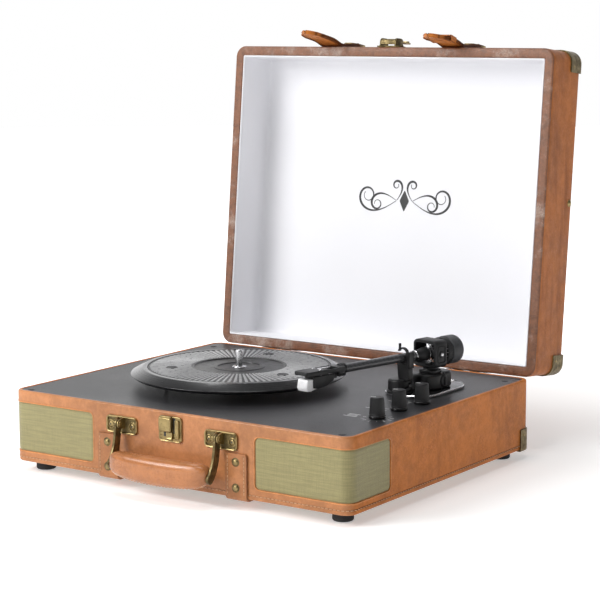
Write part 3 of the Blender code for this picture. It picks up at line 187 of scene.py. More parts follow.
def smooth_path(points, count):
    """A curve through points: each coordinate is a Catmull-Rom cubic of the distance along the path."""
    p = np.asarray(points, float)
    p = np.concatenate([2 * p[:1] - p[1:2], p, 2 * p[-1:] - p[-2:-1]])
    t = np.linspace(0, len(p) - 3, count)
    i = np.minimum(t.astype(int), len(p) - 4)
    f = (t - i)[:, None]
    a, b, c, d = p[i], p[i + 1], p[i + 2], p[i + 3]
    return 0.5 * (2 * b + (c - a) * f + (2 * a - 5 * b + 4 * c - d) * f**2 + (3 * b - a - 3 * c + d) * f**3)


def spaced(path, pitch):
    """Middles and directions of dashes at an even pitch along a path."""
    path = np.asarray(path, float)
    length = np.concatenate([[0], np.cumsum(np.linalg.norm(np.diff(path, axis=0), axis=1))])
    count = max(1, int(length[-1] / pitch))
    where = (np.arange(count) + 0.5) * length[-1] / count

    def at(s):
        return np.stack([np.interp(s, length, path[:, k]) for k in range(path.shape[1])], 1)

    direction = at(where + pitch * 0.2) - at(where - pitch * 0.2)
    return at(where), direction / np.linalg.norm(direction, axis=1)[:, None]


class Shape:
    """Points and faces that grow by whole grids."""

    def __init__(self):
        self.points, self.faces, self.count = [], [], 0

    def grid(self, rows, at=None, along=False):
        """A surface through an (m, n, 3) array of points, each row a closed ring. along joins the last row to
        the first; without it, the end rows are closed with one face each. Faces are turned so that the volume
        that they enclose, a sum of triple products, is positive."""
        rows = np.asarray(rows, float)
        m, n = rows.shape[:2]
        index = np.arange(m * n).reshape(m, n)
        index = np.vstack([index, index[:1]]) if along else index
        index = np.hstack([index, index[:, :1]])
        quads = np.stack([index[:-1, :-1], index[:-1, 1:], index[1:, 1:], index[1:, :-1]], -1).reshape(-1, 4)
        faces = [quads]
        if not along:
            faces += [index[:1, -2::-1], index[-1:, :-1]]
        flat = rows.reshape(-1, 3)
        flat_c = flat - flat.mean(0)
        volume = 0.0
        for group in faces:
            a, b, c = flat_c[group[:, :1]], flat_c[group[:, 1:-1]], flat_c[group[:, 2:]]
            volume += (a * np.cross(b, c)).sum()
        for group in faces:
            self.faces += ((group if volume >= 0 else group[:, ::-1]) + self.count).tolist()
        if at is not None:
            at = np.array(at)
            flat = flat @ at[:3, :3].T + at[:3, 3]
        self.points.append(flat)
        self.count += len(flat)
        return self

    def slab(self, outline, low, high, edge, at=None, steps=3):
        return self.grid(slab_rows(np.asarray(outline, float), low, high, edge, steps), at)

    def plate(self, points, radius, low, high, edge, at=None, steps=3, fine=3):
        """A slab of the outline through points, with its corners softened by radius."""
        return self.slab(soften(points, radius, fine, closed=True), low, high, edge, at, steps)

    def turned(self, profile, at=None, steps=48, ring=False):
        return self.grid(turned_rows(profile, steps), at, along=ring)

    def spun(self, points, radius, at=None, steps=48, ring=False, fine=3):
        """A turned shape of the profile through points, with its corners softened by radius."""
        return self.turned(soften(points, radius, fine), at, steps, ring)

    def copies(self, rows, middles, forward, up):
        """One small surface at each of many places, turned so that its X runs forward and its Z up."""
        rows = np.asarray(rows, float)
        m, n = rows.shape[:2]
        side = np.cross(up, forward)
        turn = np.stack([forward, side, up], 1)
        points = np.einsum("pk,ckj->cpj", rows.reshape(-1, 3), turn) + middles[:, None]
        index = np.arange(m * n).reshape(m, n)
        index = np.hstack([index, index[:, :1]])
        quads = np.stack([index[:-1, :-1], index[1:, :-1], index[1:, 1:], index[:-1, 1:]], -1).reshape(-1, 4)
        steps = self.count + np.arange(len(middles))[:, None, None] * m * n
        self.faces += (steps + quads).reshape(-1, 4).tolist()
        self.faces += (steps + index[:1, :-1]).reshape(-1, n).tolist()
        self.faces += (steps + index[-1:, -2::-1]).reshape(-1, n).tolist()
        self.points.append(points.reshape(-1, 3))
        self.count += len(middles) * m * n
        return self

    def build(self, name, finish, body, slot, replaces=(), sharp=38):
        mesh = bpy.data.meshes.new(name)
        mesh.from_pydata(np.concatenate(self.points), [], self.faces)
        mesh.shade_smooth()
        mesh.set_sharp_from_angle(angle=radians(sharp))
        mesh.materials.append(finish)
        thing = bpy.data.objects.new(name, mesh)
        bpy.context.scene.collection.objects.link(thing)
        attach(thing, body)
        if replaces:
            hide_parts(*replaces)
        return thing


def stitch_rows(length, radius, sides=6):
    """A thread's dash: circles along X whose radius falls and which sink at both ends."""
    along = np.array([-0.5, -0.36, 0.36, 0.5])
    size, sink = np.array([0.35, 1, 1, 0.35]), np.array([-1.0, 0, 0, -1.0])
    angle = np.linspace(0, 2 * pi, sides, endpoint=False)
    x = np.broadcast_to(along[:, None] * length, (4, sides))
    y = size[:, None] * radius * np.cos(angle)
    z = size[:, None] * radius * np.sin(angle) + sink[:, None] * radius
    return np.stack([x, y, z], -1)


def dome_rows(radius, rise, base=0.0, sides=24, rings=6, flat=0.12):
    """A rivet or screw head: radius times the cosine, and rise times the sine, of an angle up to its
    crown."""
    angle = np.linspace(0, pi / 2 * (1 - flat), rings)
    profile = np.stack([radius * np.cos(angle), base + rise * np.sin(angle)], 1)
    return turned_rows(np.concatenate([[(radius, min(base, 0) - 0.0004)], profile]), sides)


def moved(matrix, x=0.0, y=0.0, z=0.0):
    """A placing matrix shifted along its own axes."""
    return matrix @ Matrix.Translation((x, y, z))


# ---- Finishes ----
class Wire:
    """One output of a shader node. Arithmetic on it adds Math nodes."""

    def __init__(self, finish, socket):
        self.finish, self.socket = finish, socket

    def maths(self, operation, *values):
        return self.finish.node("Math", {"operation": operation}, dict(enumerate((self, *values))))

    def __add__(self, other):
        return self.maths("ADD", other)

    def __mul__(self, other):
        return self.maths("MULTIPLY", other)

    def __sub__(self, other):
        return self.maths("SUBTRACT", other)

    def __rsub__(self, other):
        return self.finish.node("Math", {"operation": "SUBTRACT"}, {0: other, 1: self})

    def __pow__(self, other):
        return self.maths("POWER", other)

    __radd__, __rmul__ = __add__, __mul__

    def wave(self):
        return self.maths("SINE")

    def absolute(self):
        return self.maths("ABSOLUTE")

    def ramp(self, low, high):
        """0 below low and 1 above high, with a smooth step between."""
        settings = {"interpolation_type": "SMOOTHSTEP", "clamp": True}
        return self.finish.node("MapRange", settings, {"Value": self, "From Min": low, "From Max": high})


class Nodes:
    """A node tree and the one way that nodes are added to it."""

    def __init__(self, tree):
        self.tree = tree

    def node(self, kind, settings=(), inputs=(), output=0):
        made = self.tree.nodes.new(f"ShaderNode{kind}")
        for key, value in dict(settings).items():
            if key == "stops":
                for stop, (position, colour) in zip(made.color_ramp.elements, value):
                    stop.position, stop.color = position, (*colour, 1)
            else:
                setattr(made, key, value)
        for key, value in dict(inputs).items():
            self.put(made.inputs[key], value)
        return Wire(self, made.outputs[output])

    def put(self, socket, value):
        if isinstance(value, Wire):
            self.tree.links.new(value.socket, socket)
        elif socket.type == "RGBA" and len(value) == 3:
            socket.default_value = (*value, 1)
        else:
            socket.default_value = value


class Finish(Nodes):
    """A Principled material."""

    def __init__(self, name, roughness=0.5, metallic=0.0, **constants):
        self.material = bpy.data.materials.new(name)
        self.material.use_nodes = True
        super().__init__(self.material.node_tree)
        self.shader = self.tree.nodes["Principled BSDF"]
        self.shader.inputs["Roughness"].default_value = roughness
        self.shader.inputs["Metallic"].default_value = metallic
        for socket, value in constants.items():
            self.shader.inputs[socket.replace("_", " ")].default_value = value
        self.place = self.node("TexCoord", output="Object")

    def set(self, **values):
        for key, value in values.items():
            self.put(self.shader.inputs[key.replace("_", " ")], value)
        return self

    def noise(self, scale, detail=4.0, rough=0.55, place=None, distortion=0.0):
        inputs = {"Vector": place or self.place, "Scale": scale, "Detail": detail, "Roughness": rough,
                  "Distortion": distortion}
        return self.node("TexNoise", {}, inputs)

    def cells(self, scale, feature="DISTANCE_TO_EDGE", place=None, random=1.0):
        settings = {"feature": feature}
        inputs = {"Vector": place or self.place, "Scale": scale, "Randomness": random}
        return self.node("TexVoronoi", settings, inputs, "Distance")

    def stretched(self, x, y, z, turn=0.0):
        settings = {"vector_type": "POINT"}
        inputs = {"Vector": self.place, "Scale": (x, y, z), "Rotation": (0, 0, turn)}
        return self.node("Mapping", settings, inputs)

    def warped(self, place, amount, scale):
        """place moved by a noise's colour, less its middle grey, times amount."""
        colour = self.node("TexNoise", {}, {"Vector": place, "Scale": scale, "Detail": 3.0}, "Color")
        shift = self.node("VectorMath", {"operation": "SUBTRACT"}, {0: colour, 1: (0.5, 0.5, 0.5)})
        shift = self.node("VectorMath", {"operation": "SCALE"}, {0: shift, "Scale": amount})
        return self.node("VectorMath", {"operation": "ADD"}, {0: place, 1: shift})

    def axis(self, name, place=None):
        return self.node("SeparateXYZ", {}, {0: place or self.place}, "XYZ".index(name))

    def blend(self, factor, first, second):
        """A colour that is first where factor is 0 and second where it is 1."""
        return self.node("Mix", {"data_type": "RGBA"}, {0: factor, 6: first, 7: second}, 2)

    def bump(self, height, distance, strength=1.0, under=None):
        inputs = {"Height": height, "Distance": distance, "Strength": strength}
        if under is not None:
            inputs["Normal"] = under
        return self.node("Bump", {}, inputs)


FINISHES = {}


def finish(make):
    """Keeps one material for each maker, so that pieces share it."""
    def kept():
        if make.__name__ not in FINISHES:
            FINISHES[make.__name__] = make().material
        return FINISHES[make.__name__]
    return kept


def shade(colour, factor):
    return tuple(min(1.0, value * factor) for value in colour)


def looks():
    return bpy.context.scene.player_looks


def leather_finish(name, colour, streak=0.35, gloss=0.36, coat=0.06, front_coat_and_sheen=0.0, lines=()):
    """Polished leather: broad blotches and a finer mottle from slow noise, streaks from a noise that is
    stretched upwards, and shallow creases between warped cells that show only in patches. Lines are a
    distance in metres, how far from nought they reach and how much they darken. The case's front has a
    thicker coat than its sides."""
    f = Finish(name, Coat_Roughness=0.22, Specular_IOR_Level=0.10)
    place = f.warped(f.place, 0.010, 70.0)
    creases = f.cells(330.0, place=place).ramp(0.0, 0.20)
    fine = f.cells(900.0, place=place).ramp(0.0, 0.25)
    patches = f.noise(38.0, 4.0, 0.6).ramp(0.45, 0.75)
    blotches = f.noise(16.0, 6.0, 0.65).ramp(0.34, 0.68)
    mottle = f.noise(95.0, 6.0, 0.75).ramp(0.38, 0.68)
    specks = f.noise(420.0, 4.0, 0.7).ramp(0.50, 0.75)
    streaks = f.noise(1.0, 5.0, 0.65, f.stretched(70.0, 70.0, 10.0)).ramp(0.46, 0.74)
    dark = (colour[0] * 0.52, colour[1] * 0.42, colour[2] * 0.35)
    colour_ = f.blend(blotches, shade(colour, 0.76), shade(colour, 1.14))
    colour_ = f.blend(mottle * 0.45, colour_, shade(colour, 1.45))
    colour_ = f.blend(streaks * streak, colour_, dark)
    colour_ = f.blend(specks * 0.35, colour_, dark)
    colour_ = f.blend((1 - creases) * patches * 0.45, colour_, dark)
    # Each line darkens the colour along it: painted shade.
    for distance, reach, amount in lines(f) if lines else ():
        colour_ = f.blend((1 - distance.ramp(reach * 0.4, reach)) * amount, colour_, shade(dark, 0.5))
    height = creases * patches * 0.5 + fine * 0.3 + mottle * 0.4
    front = (CASE_Y - f.axis("Y")).ramp(HALF_DEEP - CORNER, HALF_DEEP)
    # The front's colour is blended towards pale. This is a painted sheen, the white gloss of the lit front
    # put into the colour.
    pale = (colour[0] * 1.04, colour[1] * 1.42, colour[2] * 2.9)
    colour_ = f.blend(front * (front_coat_and_sheen > 0) * 0.75, colour_, f.blend(blotches * 0.6 + mottle * 0.5,
                                                                        shade(pale, 0.58), pale))
    f.set(Base_Color=colour_, Roughness=gloss + blotches * 0.12 - mottle * 0.08 + (1 - fine) * 0.05,
          Coat_Weight=front * front_coat_and_sheen + coat, Normal=f.bump(height, 0.00024, 0.5))
    return f


@finish
def leather():
    # Darkens the colour along the lower seam's groove: painted shade.
    def seam(f):
        return [((f.axis("Z") - BASE_FOOT - SEAM_HIGH).absolute(), 0.0011, 0.75)]

    return leather_finish("tan leather", looks().leather, front_coat_and_sheen=0.40, lines=seam)


@finish
def strap_leather():
    """A strap's leather, dark at its edges and along its stitches."""
    def edges(f):
        across = (f.axis("X").absolute() - STRAP_X).absolute()
        return [((across - STITCH_LINE).absolute(), 0.0010, 0.65), ((across - 0.0126).absolute(), 0.0016,
                                                                    0.85)]

    return leather_finish("strap leather", shade(looks().leather, 0.86), front_coat_and_sheen=0.35, lines=edges)


@finish
def grip_leather():
    red, green, blue = looks().leather
    return leather_finish("grip leather", (red * 0.76, green * 0.90, blue * 1.5), 0.15, 0.20, 0.85)


@finish
def lid_leather():
    return leather_finish("lid leather", looks().lid_leather, 0.75)


@finish
def rim_leather():
    """Leather on the lid's rim, rubbed pale along it."""
    colour = looks().rim_leather
    f = Finish("rubbed leather", Coat_Weight=0.1, Coat_Roughness=0.3)
    grain = f.cells(420.0, place=f.warped(f.place, 0.01, 90.0)).ramp(0.0, 0.2)
    worn = f.noise(26.0, 6.0, 0.7).ramp(0.50, 0.74)
    dark = f.noise(1.0, 5.0, 0.65, f.stretched(150.0, 40.0, 150.0)).ramp(0.40, 0.75)
    colour_ = f.blend(dark * 0.8, colour, shade(colour, 0.42))
    colour_ = f.blend(worn * 0.75, colour_, (0.52, 0.43, 0.37))
    f.set(Base_Color=f.blend((1 - grain) * 0.3, colour_, shade(colour, 0.4)),
          Roughness=0.42 + worn * 0.15, Normal=f.bump(grain + dark * 0.3, 0.00025, 0.6))
    return f


@finish
def piping_leather():
    return leather_finish("piping leather", (0.60, 0.25, 0.095), 0.2)


@finish
def thread():
    colour = (0.68, 0.40, 0.22)
    f = Finish("thread", 0.7)
    twist = (f.noise(2600.0, 2.0)).ramp(0.3, 0.7)
    return f.set(Base_Color=f.blend(twist, shade(colour, 0.6), colour), Normal=f.bump(twist, 0.0001))


@finish
def brass():
    """Aged bronze: bright metal that shows through a brown film in patches."""
    colour = looks().brass
    f = Finish("antique bronze", 0.34, 0.92)
    film = f.noise(120.0, 6.0, 0.7).ramp(0.36, 0.70)
    specks = f.noise(900.0, 4.0, 0.6).ramp(0.55, 0.72)
    colour_ = f.blend(film * 0.6, colour, shade(colour, 0.42))
    colour_ = f.blend(specks * 0.4, colour_, shade(colour, 0.3))
    return f.set(Base_Color=colour_, Roughness=0.27 + film * 0.22 + specks * 0.1,
                 Normal=f.bump(f.noise(500.0, 4.0), 0.00008, 0.5))


@finish
def bright_brass():
    """The same bronze, rubbed bright."""
    colour = looks().brass
    f = Finish("rubbed bronze", 0.3, 0.95)
    film = f.noise(140.0, 6.0, 0.7).ramp(0.45, 0.75)
    return f.set(Base_Color=f.blend(film * 0.6, shade(colour, 0.95), shade(colour, 0.40)),
                 Roughness=0.34 + film * 0.2, Normal=f.bump(f.noise(500.0, 4.0), 0.00006, 0.4))


@finish
def dark_brass():
    """The same bronze where its film is thick."""
    colour = looks().brass
    f = Finish("dark bronze", 0.4, 0.85)
    film = f.noise(160.0, 6.0, 0.7).ramp(0.30, 0.70)
    return f.set(Base_Color=f.blend(film, shade(colour, 0.62), shade(colour, 0.22)),
                 Roughness=0.32 + film * 0.22, Normal=f.bump(f.noise(500.0, 4.0), 0.00010, 0.6))


@finish
def steel():
    f = Finish("plated steel", 0.22, 1.0)
    brushed = f.noise(1.0, 4.0, 0.6, f.stretched(500.0, 500.0, 60.0))
    return f.set(Base_Color=f.blend(brushed, (0.42, 0.42, 0.43), (0.66, 0.66, 0.67)),
                 Roughness=0.16 + brushed * 0.14, Normal=f.bump(brushed, 0.000003, 0.1))


def plastic_finish(name, colour, gloss, grain=0.4, scale=1400.0):
    """Moulded plastic: an even spark-eroded grain, and smudges that change the gloss."""
    f = Finish(name, Specular_IOR_Level=0.32)
    fine = f.noise(scale, 3.0, 0.6)
    smudge = f.noise(70.0, 4.0, 0.6).ramp(0.35, 0.75)
    return f.set(Base_Color=f.blend(smudge * 0.6 + fine * 0.3, colour, shade(colour, 1.9)),
                 Roughness=gloss + smudge * 0.12 + fine * 0.06, Normal=f.bump(fine, 0.00008, grain))


@finish
def black_plastic():
    return plastic_finish("black plastic", looks().black, 0.34)


@finish
def satin_plastic():
    return plastic_finish("satin black plastic", shade(looks().black, 1.5), 0.42, 0.6)


@finish
def gloss_plastic():
    return plastic_finish("gloss black plastic", shade(looks().black, 0.8), 0.10, 0.1)


@finish
def white_plastic():
    return plastic_finish("white plastic", (0.72, 0.72, 0.73), 0.24, 0.2)


@finish
def rubber():
    return plastic_finish("rubber", (0.018, 0.018, 0.019), 0.62, 0.8, 900.0)


@finish
def platter_metal():
    """Dark turned aluminium: fine rings round the platter's middle."""
    f = Finish("dark turned metal", 0.3, 0.35, Coat_Weight=0.35, Coat_Roughness=0.10)
    x, y = f.axis("X") - PLATTER.x, f.axis("Y") - PLATTER.y
    radius = (x * x + y * y) ** 0.5
    rings = f.node("TexNoise", {"noise_dimensions": "1D"}, {"W": radius, "Scale": 2600.0, "Detail": 3.0})
    smudge = f.noise(40.0, 3.0)
    return f.set(Base_Color=f.blend(rings, (0.014, 0.014, 0.015), (0.030, 0.030, 0.032)),
                 Roughness=0.20 + rings * 0.10 + smudge * 0.08, Normal=f.bump(rings, 0.00002, 0.5))


@finish
def mat_rubber():
    """The mat: dull grey rubber with fine rings in it."""
    f = Finish("mat rubber", 0.45)
    x, y = f.axis("X") - PLATTER.x, f.axis("Y") - PLATTER.y
    radius = (x * x + y * y) ** 0.5
    rings = (radius * (2 * pi / 0.0011)).wave() * 0.5 + 0.5
    dust = f.noise(160.0, 5.0, 0.7).ramp(0.45, 0.8)
    return f.set(Base_Color=f.blend(dust * 0.2 + rings * 0.2, (0.007, 0.007, 0.0075), (0.055, 0.055, 0.057)),
                 Roughness=0.36 + dust * 0.2, Normal=f.bump(rings + f.noise(1500.0, 2.0) * 0.4, 0.00006, 0.6))


@finish
def rib_rubber():
    """The ribs' tops, polished by records."""
    f = Finish("rib rubber", 0.3)
    wear = f.noise(220.0, 5.0, 0.7).ramp(0.3, 0.7)
    return f.set(Base_Color=f.blend(wear, (0.23, 0.23, 0.233), (0.36, 0.36, 0.365)),
                 Roughness=0.26 + wear * 0.12, Normal=f.bump(f.noise(1500.0, 2.0), 0.00005, 0.5))


@finish
def deck_vinyl():
    """Matte vinyl with a fine leather grain."""
    colour = looks().deck
    f = Finish("deck vinyl", Specular_IOR_Level=0.6)
    grain = f.cells(1150.0, place=f.warped(f.place, 0.002, 300.0)).ramp(0.0, 0.3)
    cloud = f.noise(9.0, 4.0, 0.6).ramp(0.3, 0.7)
    return f.set(Base_Color=f.blend(cloud * 0.5 + grain * 0.3, colour, shade(colour, 1.7)),
                 Roughness=0.34 + grain * 0.10 + cloud * 0.06, Normal=f.bump(grain, 0.00006, 0.4))


@finish
def grille_cloth():
    """Woven cloth: threads along the face and threads upwards, over and under by turns, with uneven dye."""
    colour = looks().grille
    f = Finish("woven grille cloth", 0.55, 0.15, Sheen_Weight=0.2)
    run = f.axis("X").absolute() + f.axis("Y")
    pitch = 2 * pi / looks().weave
    warp, weft = (run * pitch).wave(), (f.axis("Z") * pitch).wave()
    over = (warp * weft) * 0.5 + 0.5
    threads = warp.absolute() * over + weft.absolute() * (1 - over)
    ribs = (f.axis("Z") * (pitch / 2.7)).wave() * 0.5 + 0.5
    uneven = f.noise(1.0, 2.0, 0.5, f.stretched(45.0, 45.0, 1100.0)).ramp(0.36, 0.64)
    upright = f.noise(1.0, 2.0, 0.5, f.stretched(900.0, 900.0, 60.0)).ramp(0.40, 0.70)
    colour_ = f.blend(threads, shade(colour, 0.22), shade(colour, 1.40))
    colour_ = f.blend(uneven * 0.32 + ribs * 0.12, colour_, shade(colour, 0.50))
    colour_ = f.blend(upright * 0.20, colour_, shade(colour, 0.45))
    return f.set(Base_Color=colour_, Roughness=0.42 + (1 - threads) * 0.3,
                 Normal=f.bump(threads + ribs * 0.2, 0.0003, 0.8))


@finish
def lining():
    f = Finish("white lining", 0.85, Sheen_Weight=0.15)
    nap = f.noise(1800.0, 4.0, 0.7)
    cloud = f.noise(5.0, 3.0).ramp(0.3, 0.7)
    return f.set(Base_Color=f.blend(nap * 0.5 + cloud * 0.3, (0.76, 0.76, 0.79), (0.83, 0.83, 0.855)),
                 Roughness=0.78 + nap * 0.1, Normal=f.bump(nap, 0.00006, 0.5))


@finish
def carbon():
    """Dark woven tube: two spiral waves that cross, under a clear coat."""
    f = Finish("woven dark tube", 0.35, 0.2, Coat_Weight=0.5, Coat_Roughness=0.12)
    weave = f.cells(520.0, "F1", random=0.25)
    twill = f.node("TexChecker", {}, {"Vector": f.stretched(1, 1, 1, radians(33)), "Scale": 620.0,
                   "Color1": (0.075, 0.075, 0.08), "Color2": (0.022, 0.022, 0.024)})
    return f.set(Base_Color=twill, Roughness=0.30 + weave * 0.2, Normal=f.bump(weave, 0.00005, 0.5))


# Near black: ink for the lid's ornament, and painted shade in screw slots, holes, socket wells and the latch.
@finish
def ink_and_shade():
    f = Finish("dark ink", 0.45)
    grain = f.noise(700.0, 3.0)
    return f.set(Base_Color=f.blend(grain, (0.012, 0.012, 0.013), (0.03, 0.03, 0.032)),
                 Roughness=0.4 + grain * 0.2)


@finish
def print_white():
    f = Finish("white print", 0.5)
    wear = f.noise(900.0, 4.0, 0.7).ramp(0.3, 0.65)
    return f.set(Base_Color=f.blend(wear, (0.42, 0.42, 0.42), (0.80, 0.80, 0.80)),
                 Roughness=0.45 + wear * 0.1)


@finish
def weight_paint():
    return plastic_finish("dark weight paint", (0.040, 0.041, 0.044), 0.44, 0.7, 1000.0)


@finish
def chip_board():
    f = Finish("fibreboard", 0.8)
    chips = f.cells(260.0, "F1").ramp(0.1, 0.6)
    fibres = f.noise(1.0, 4.0, 0.7, f.stretched(90.0, 600.0, 90.0))
    return f.set(Base_Color=f.blend(chips * 0.5 + fibres * 0.4, (0.20, 0.13, 0.08), (0.36, 0.26, 0.17)),
                 Roughness=0.7 + fibres * 0.2, Normal=f.bump(chips, 0.0002, 0.5))


@finish
def circuit_board():
    f = Finish("circuit board", 0.45)
    tracks = (f.cells(240.0, "F1", random=0.0)).ramp(0.12, 0.2)
    return f.set(Base_Color=f.blend(tracks, (0.40, 0.26, 0.10), (0.02, 0.13, 0.05)),
                 Roughness=0.35 + tracks * 0.2)


# ---- Case ----
PLATTER = Vector(JOINTS["platter_spin"]["pos_m"])
GRILLE_START, GRILLE_END = 0.0965, 0.262  # along the case from the middle of its front
GRILLE_LOW, GRILLE_HIGH = 0.021, 0.0695
NEAR_EDGE, NEAR_STEPS = 0.0035, 15  # the finer points each side of a grille's edge
STRAP_GAP = 0.014  # stitches stop this far from a strap's middle
SIDE_RUN = 2 * (HALF_DEEP - CORNER)
FRONT_RUN = HALF_WIDE - CORNER
ARC_RUN = CORNER * pi / 2


def round_case(run):
    """A point and its outward direction at a distance run round the case's side from the middle of its front:
    straight, a quarter circle, straight, and so on, chosen by where run falls, and mirrored for a negative
    run."""
    side, s = np.sign(run), np.abs(run)
    s1 = FRONT_RUN
    s2, s3 = s1 + ARC_RUN, s1 + ARC_RUN + SIDE_RUN
    s4 = s3 + ARC_RUN
    turn_a, turn_b = (s - s1) / CORNER, (s - s3) / CORNER
    where = [s <= s1, s <= s2, s <= s3, s <= s4, s > s4]
    angle = np.select(where, [-pi / 2 + s * 0, -pi / 2 + turn_a, s * 0, turn_b, pi / 2 + s * 0])
    cx = np.select(where, [s, FRONT_RUN + s * 0, FRONT_RUN + s * 0, FRONT_RUN + s * 0, FRONT_RUN - (s - s4)])
    inner = HALF_DEEP - CORNER
    cy = np.select(where, [-inner + s * 0, -inner + s * 0, -inner + (s - s2), inner + s * 0, inner + s * 0])
    normal = np.stack([np.cos(angle) * np.where(side == 0, 1, side), np.sin(angle)], -1)
    centre = np.stack([cx * np.where(side == 0, 1, side), cy], -1)
    return centre + normal * CORNER, normal


def case_run(extra=()):
    """Distances round the whole case, closer together at the corners and at the grilles' ends."""
    half = 2 * FRONT_RUN + 2 * ARC_RUN + SIDE_RUN
    s1, s3 = FRONT_RUN, FRONT_RUN + ARC_RUN + SIDE_RUN
    runs = [np.linspace(0, half, 60), np.linspace(s1, s1 + ARC_RUN, 14), np.linspace(s3, s3 + ARC_RUN, 14)]
    runs += [np.linspace(e - NEAR_EDGE, e + NEAR_EDGE, NEAR_STEPS) for e in extra]
    runs += [np.linspace(e - 0.006 * d, e + 0.010 * (1 - d), 9) for e, d in zip(extra, (0, 1))]
    positive = np.unique(np.round(np.concatenate(runs), 6))
    positive = positive[(positive >= 0) & (positive <= half)]
    return np.concatenate([-positive[1:-1][::-1], positive])


def grille_distance(run, z):
    """Signed distance to the edge of the nearer grille's round-cornered rectangle, negative inside it."""
    radius = 0.005
    middle_s, middle_z = (GRILLE_START + GRILLE_END) / 2, (GRILLE_LOW + GRILLE_HIGH) / 2
    half_s, half_z = (GRILLE_END - GRILLE_START) / 2, (GRILLE_HIGH - GRILLE_LOW) / 2
    qx = np.abs(np.abs(run) - middle_s) - half_s + radius
    qz = np.abs(z - middle_z) - half_z + radius
    return np.hypot(np.maximum(qx, 0), np.maximum(qz, 0)) + np.minimum(np.maximum(qx, qz), 0) - radius


def step(value, low, high):
    """A smooth step, 3t² - 2t³, where t rises from 0 at low to 1 at high."""
    t = np.clip((value - low) / (high - low), 0, 1)
    return t * t * (3 - 2 * t)


def make_case():
    """The leather skin is a ring: a profile of insets and heights carried round the case. Its outer face
    sinks by a smooth step of the distance to a grille's edge, and swells into a lip just outside it."""
    run = case_run((GRILLE_START, GRILLE_END))
    top, foot, soft = BASE_TOP, BASE_FOOT, 0.0019
    near = [np.linspace(e - NEAR_EDGE, e + NEAR_EDGE, NEAR_STEPS) for e in (GRILLE_LOW, GRILLE_HIGH)]
    corner = [np.linspace(GRILLE_LOW + NEAR_EDGE, GRILLE_LOW + 0.006, 4),
              np.linspace(GRILLE_HIGH - 0.006, GRILLE_HIGH - NEAR_EDGE, 4)]
    wall = np.unique(np.round(np.concatenate([np.linspace(foot + soft, top - soft, 22), *near, *corner]), 6))
    wall = wall[(wall >= foot + soft) & (wall <= top - soft)]
    inner = 0.0088
    low_edge = [(soft * (1 - sin(a)), foot + soft * (1 - cos(a))) for a in np.linspace(0, pi / 2, 5)]
    high_edge = [(soft * (1 - cos(a)), top - soft * (1 - sin(a))) for a in np.linspace(0, pi / 2, 5)]
    rim = [(0.0034, top), (0.0040, top - 0.0003), (0.0042, top - 0.0010), (0.0042, top - 0.0040),
           (inner, top - 0.0042), (inner, foot)]
    profile = np.array(low_edge + [(0, z) for z in wall[1:-1]] + high_edge + rim)
    s, z = np.meshgrid(run, profile[:, 1])
    distance = grille_distance(s, z)
    outer = (profile[:, 0] <= soft)[:, None]
    sunk = step(-distance, -0.0002, 0.0006) * 0.0022
    lip = np.exp(-(((distance - 0.0010) / 0.0008) ** 2)) * 0.0002
    seam = np.exp(-(((z - foot - SEAM_HIGH) / 0.0007) ** 2)) * 0.0004
    inward = profile[:, :1] + np.where(outer, sunk - lip + seam, 0)
    point, normal = round_case(s)
    rows = np.dstack([point - normal * inward[..., None], z])
    rows[..., 1] += CASE_Y
    Shape().grid(rows, along=True).build("case_leather", leather(), "player", "tan_leather", ["base_frame"])

    line = np.linspace(-0.97, 0.97, 700) * (2 * FRONT_RUN + 2 * ARC_RUN + SIDE_RUN)
    point, normal = round_case(line)
    path = np.column_stack([point + (0, CASE_Y), np.full(len(line), foot + SEAM_HIGH)])
    middles, forward = spaced(path, looks().stitch * 1.45)
    near_path = np.argmin(((middles[:, None] - path[None]) ** 2).sum(-1), 1)
    up = np.column_stack([normal[near_path], np.zeros(len(middles))])
    keep = np.abs(np.abs(middles[:, 0]) - STRAP_X) > STRAP_GAP
    keep |= middles[:, 1] > FRONT_Y + 0.001
    stitches = Shape().copies(stitch_rows(looks().stitch, THREAD), middles[keep], forward[keep], up[keep])
    stitches.build("case_stitches", thread(), "player", "tan_leather")


def make_grilles():
    """Each grille is a sheet that follows the case's side, 0.6 mm inside it, with its threads raised by the
    product of two sines."""
    for name, side in LEFT_RIGHT:
        s = side * np.linspace(GRILLE_START, GRILLE_END, 120)
        z = np.linspace(GRILLE_LOW, GRILLE_HIGH, 40)
        ss, zz = np.meshgrid(s, z)
        distance = grille_distance(ss, zz)
        dome = 0.00025 + 0.0008 * (1 - step(-distance, 0.0, 0.0020))
        point, normal = round_case(ss)
        front = np.dstack([point - normal * dome[..., None], zz])
        back = np.dstack([point - normal * 0.0021, zz])
        rows = np.concatenate([front, back[::-1]])
        rows[..., 1] += CASE_Y
        shape = Shape()
        shape.grid(np.swapaxes(rows, 0, 1))
        shape.build(f"grille_{name}", grille_cloth(), "player", "grille_cloth", [f"speaker_grille_{name}"])


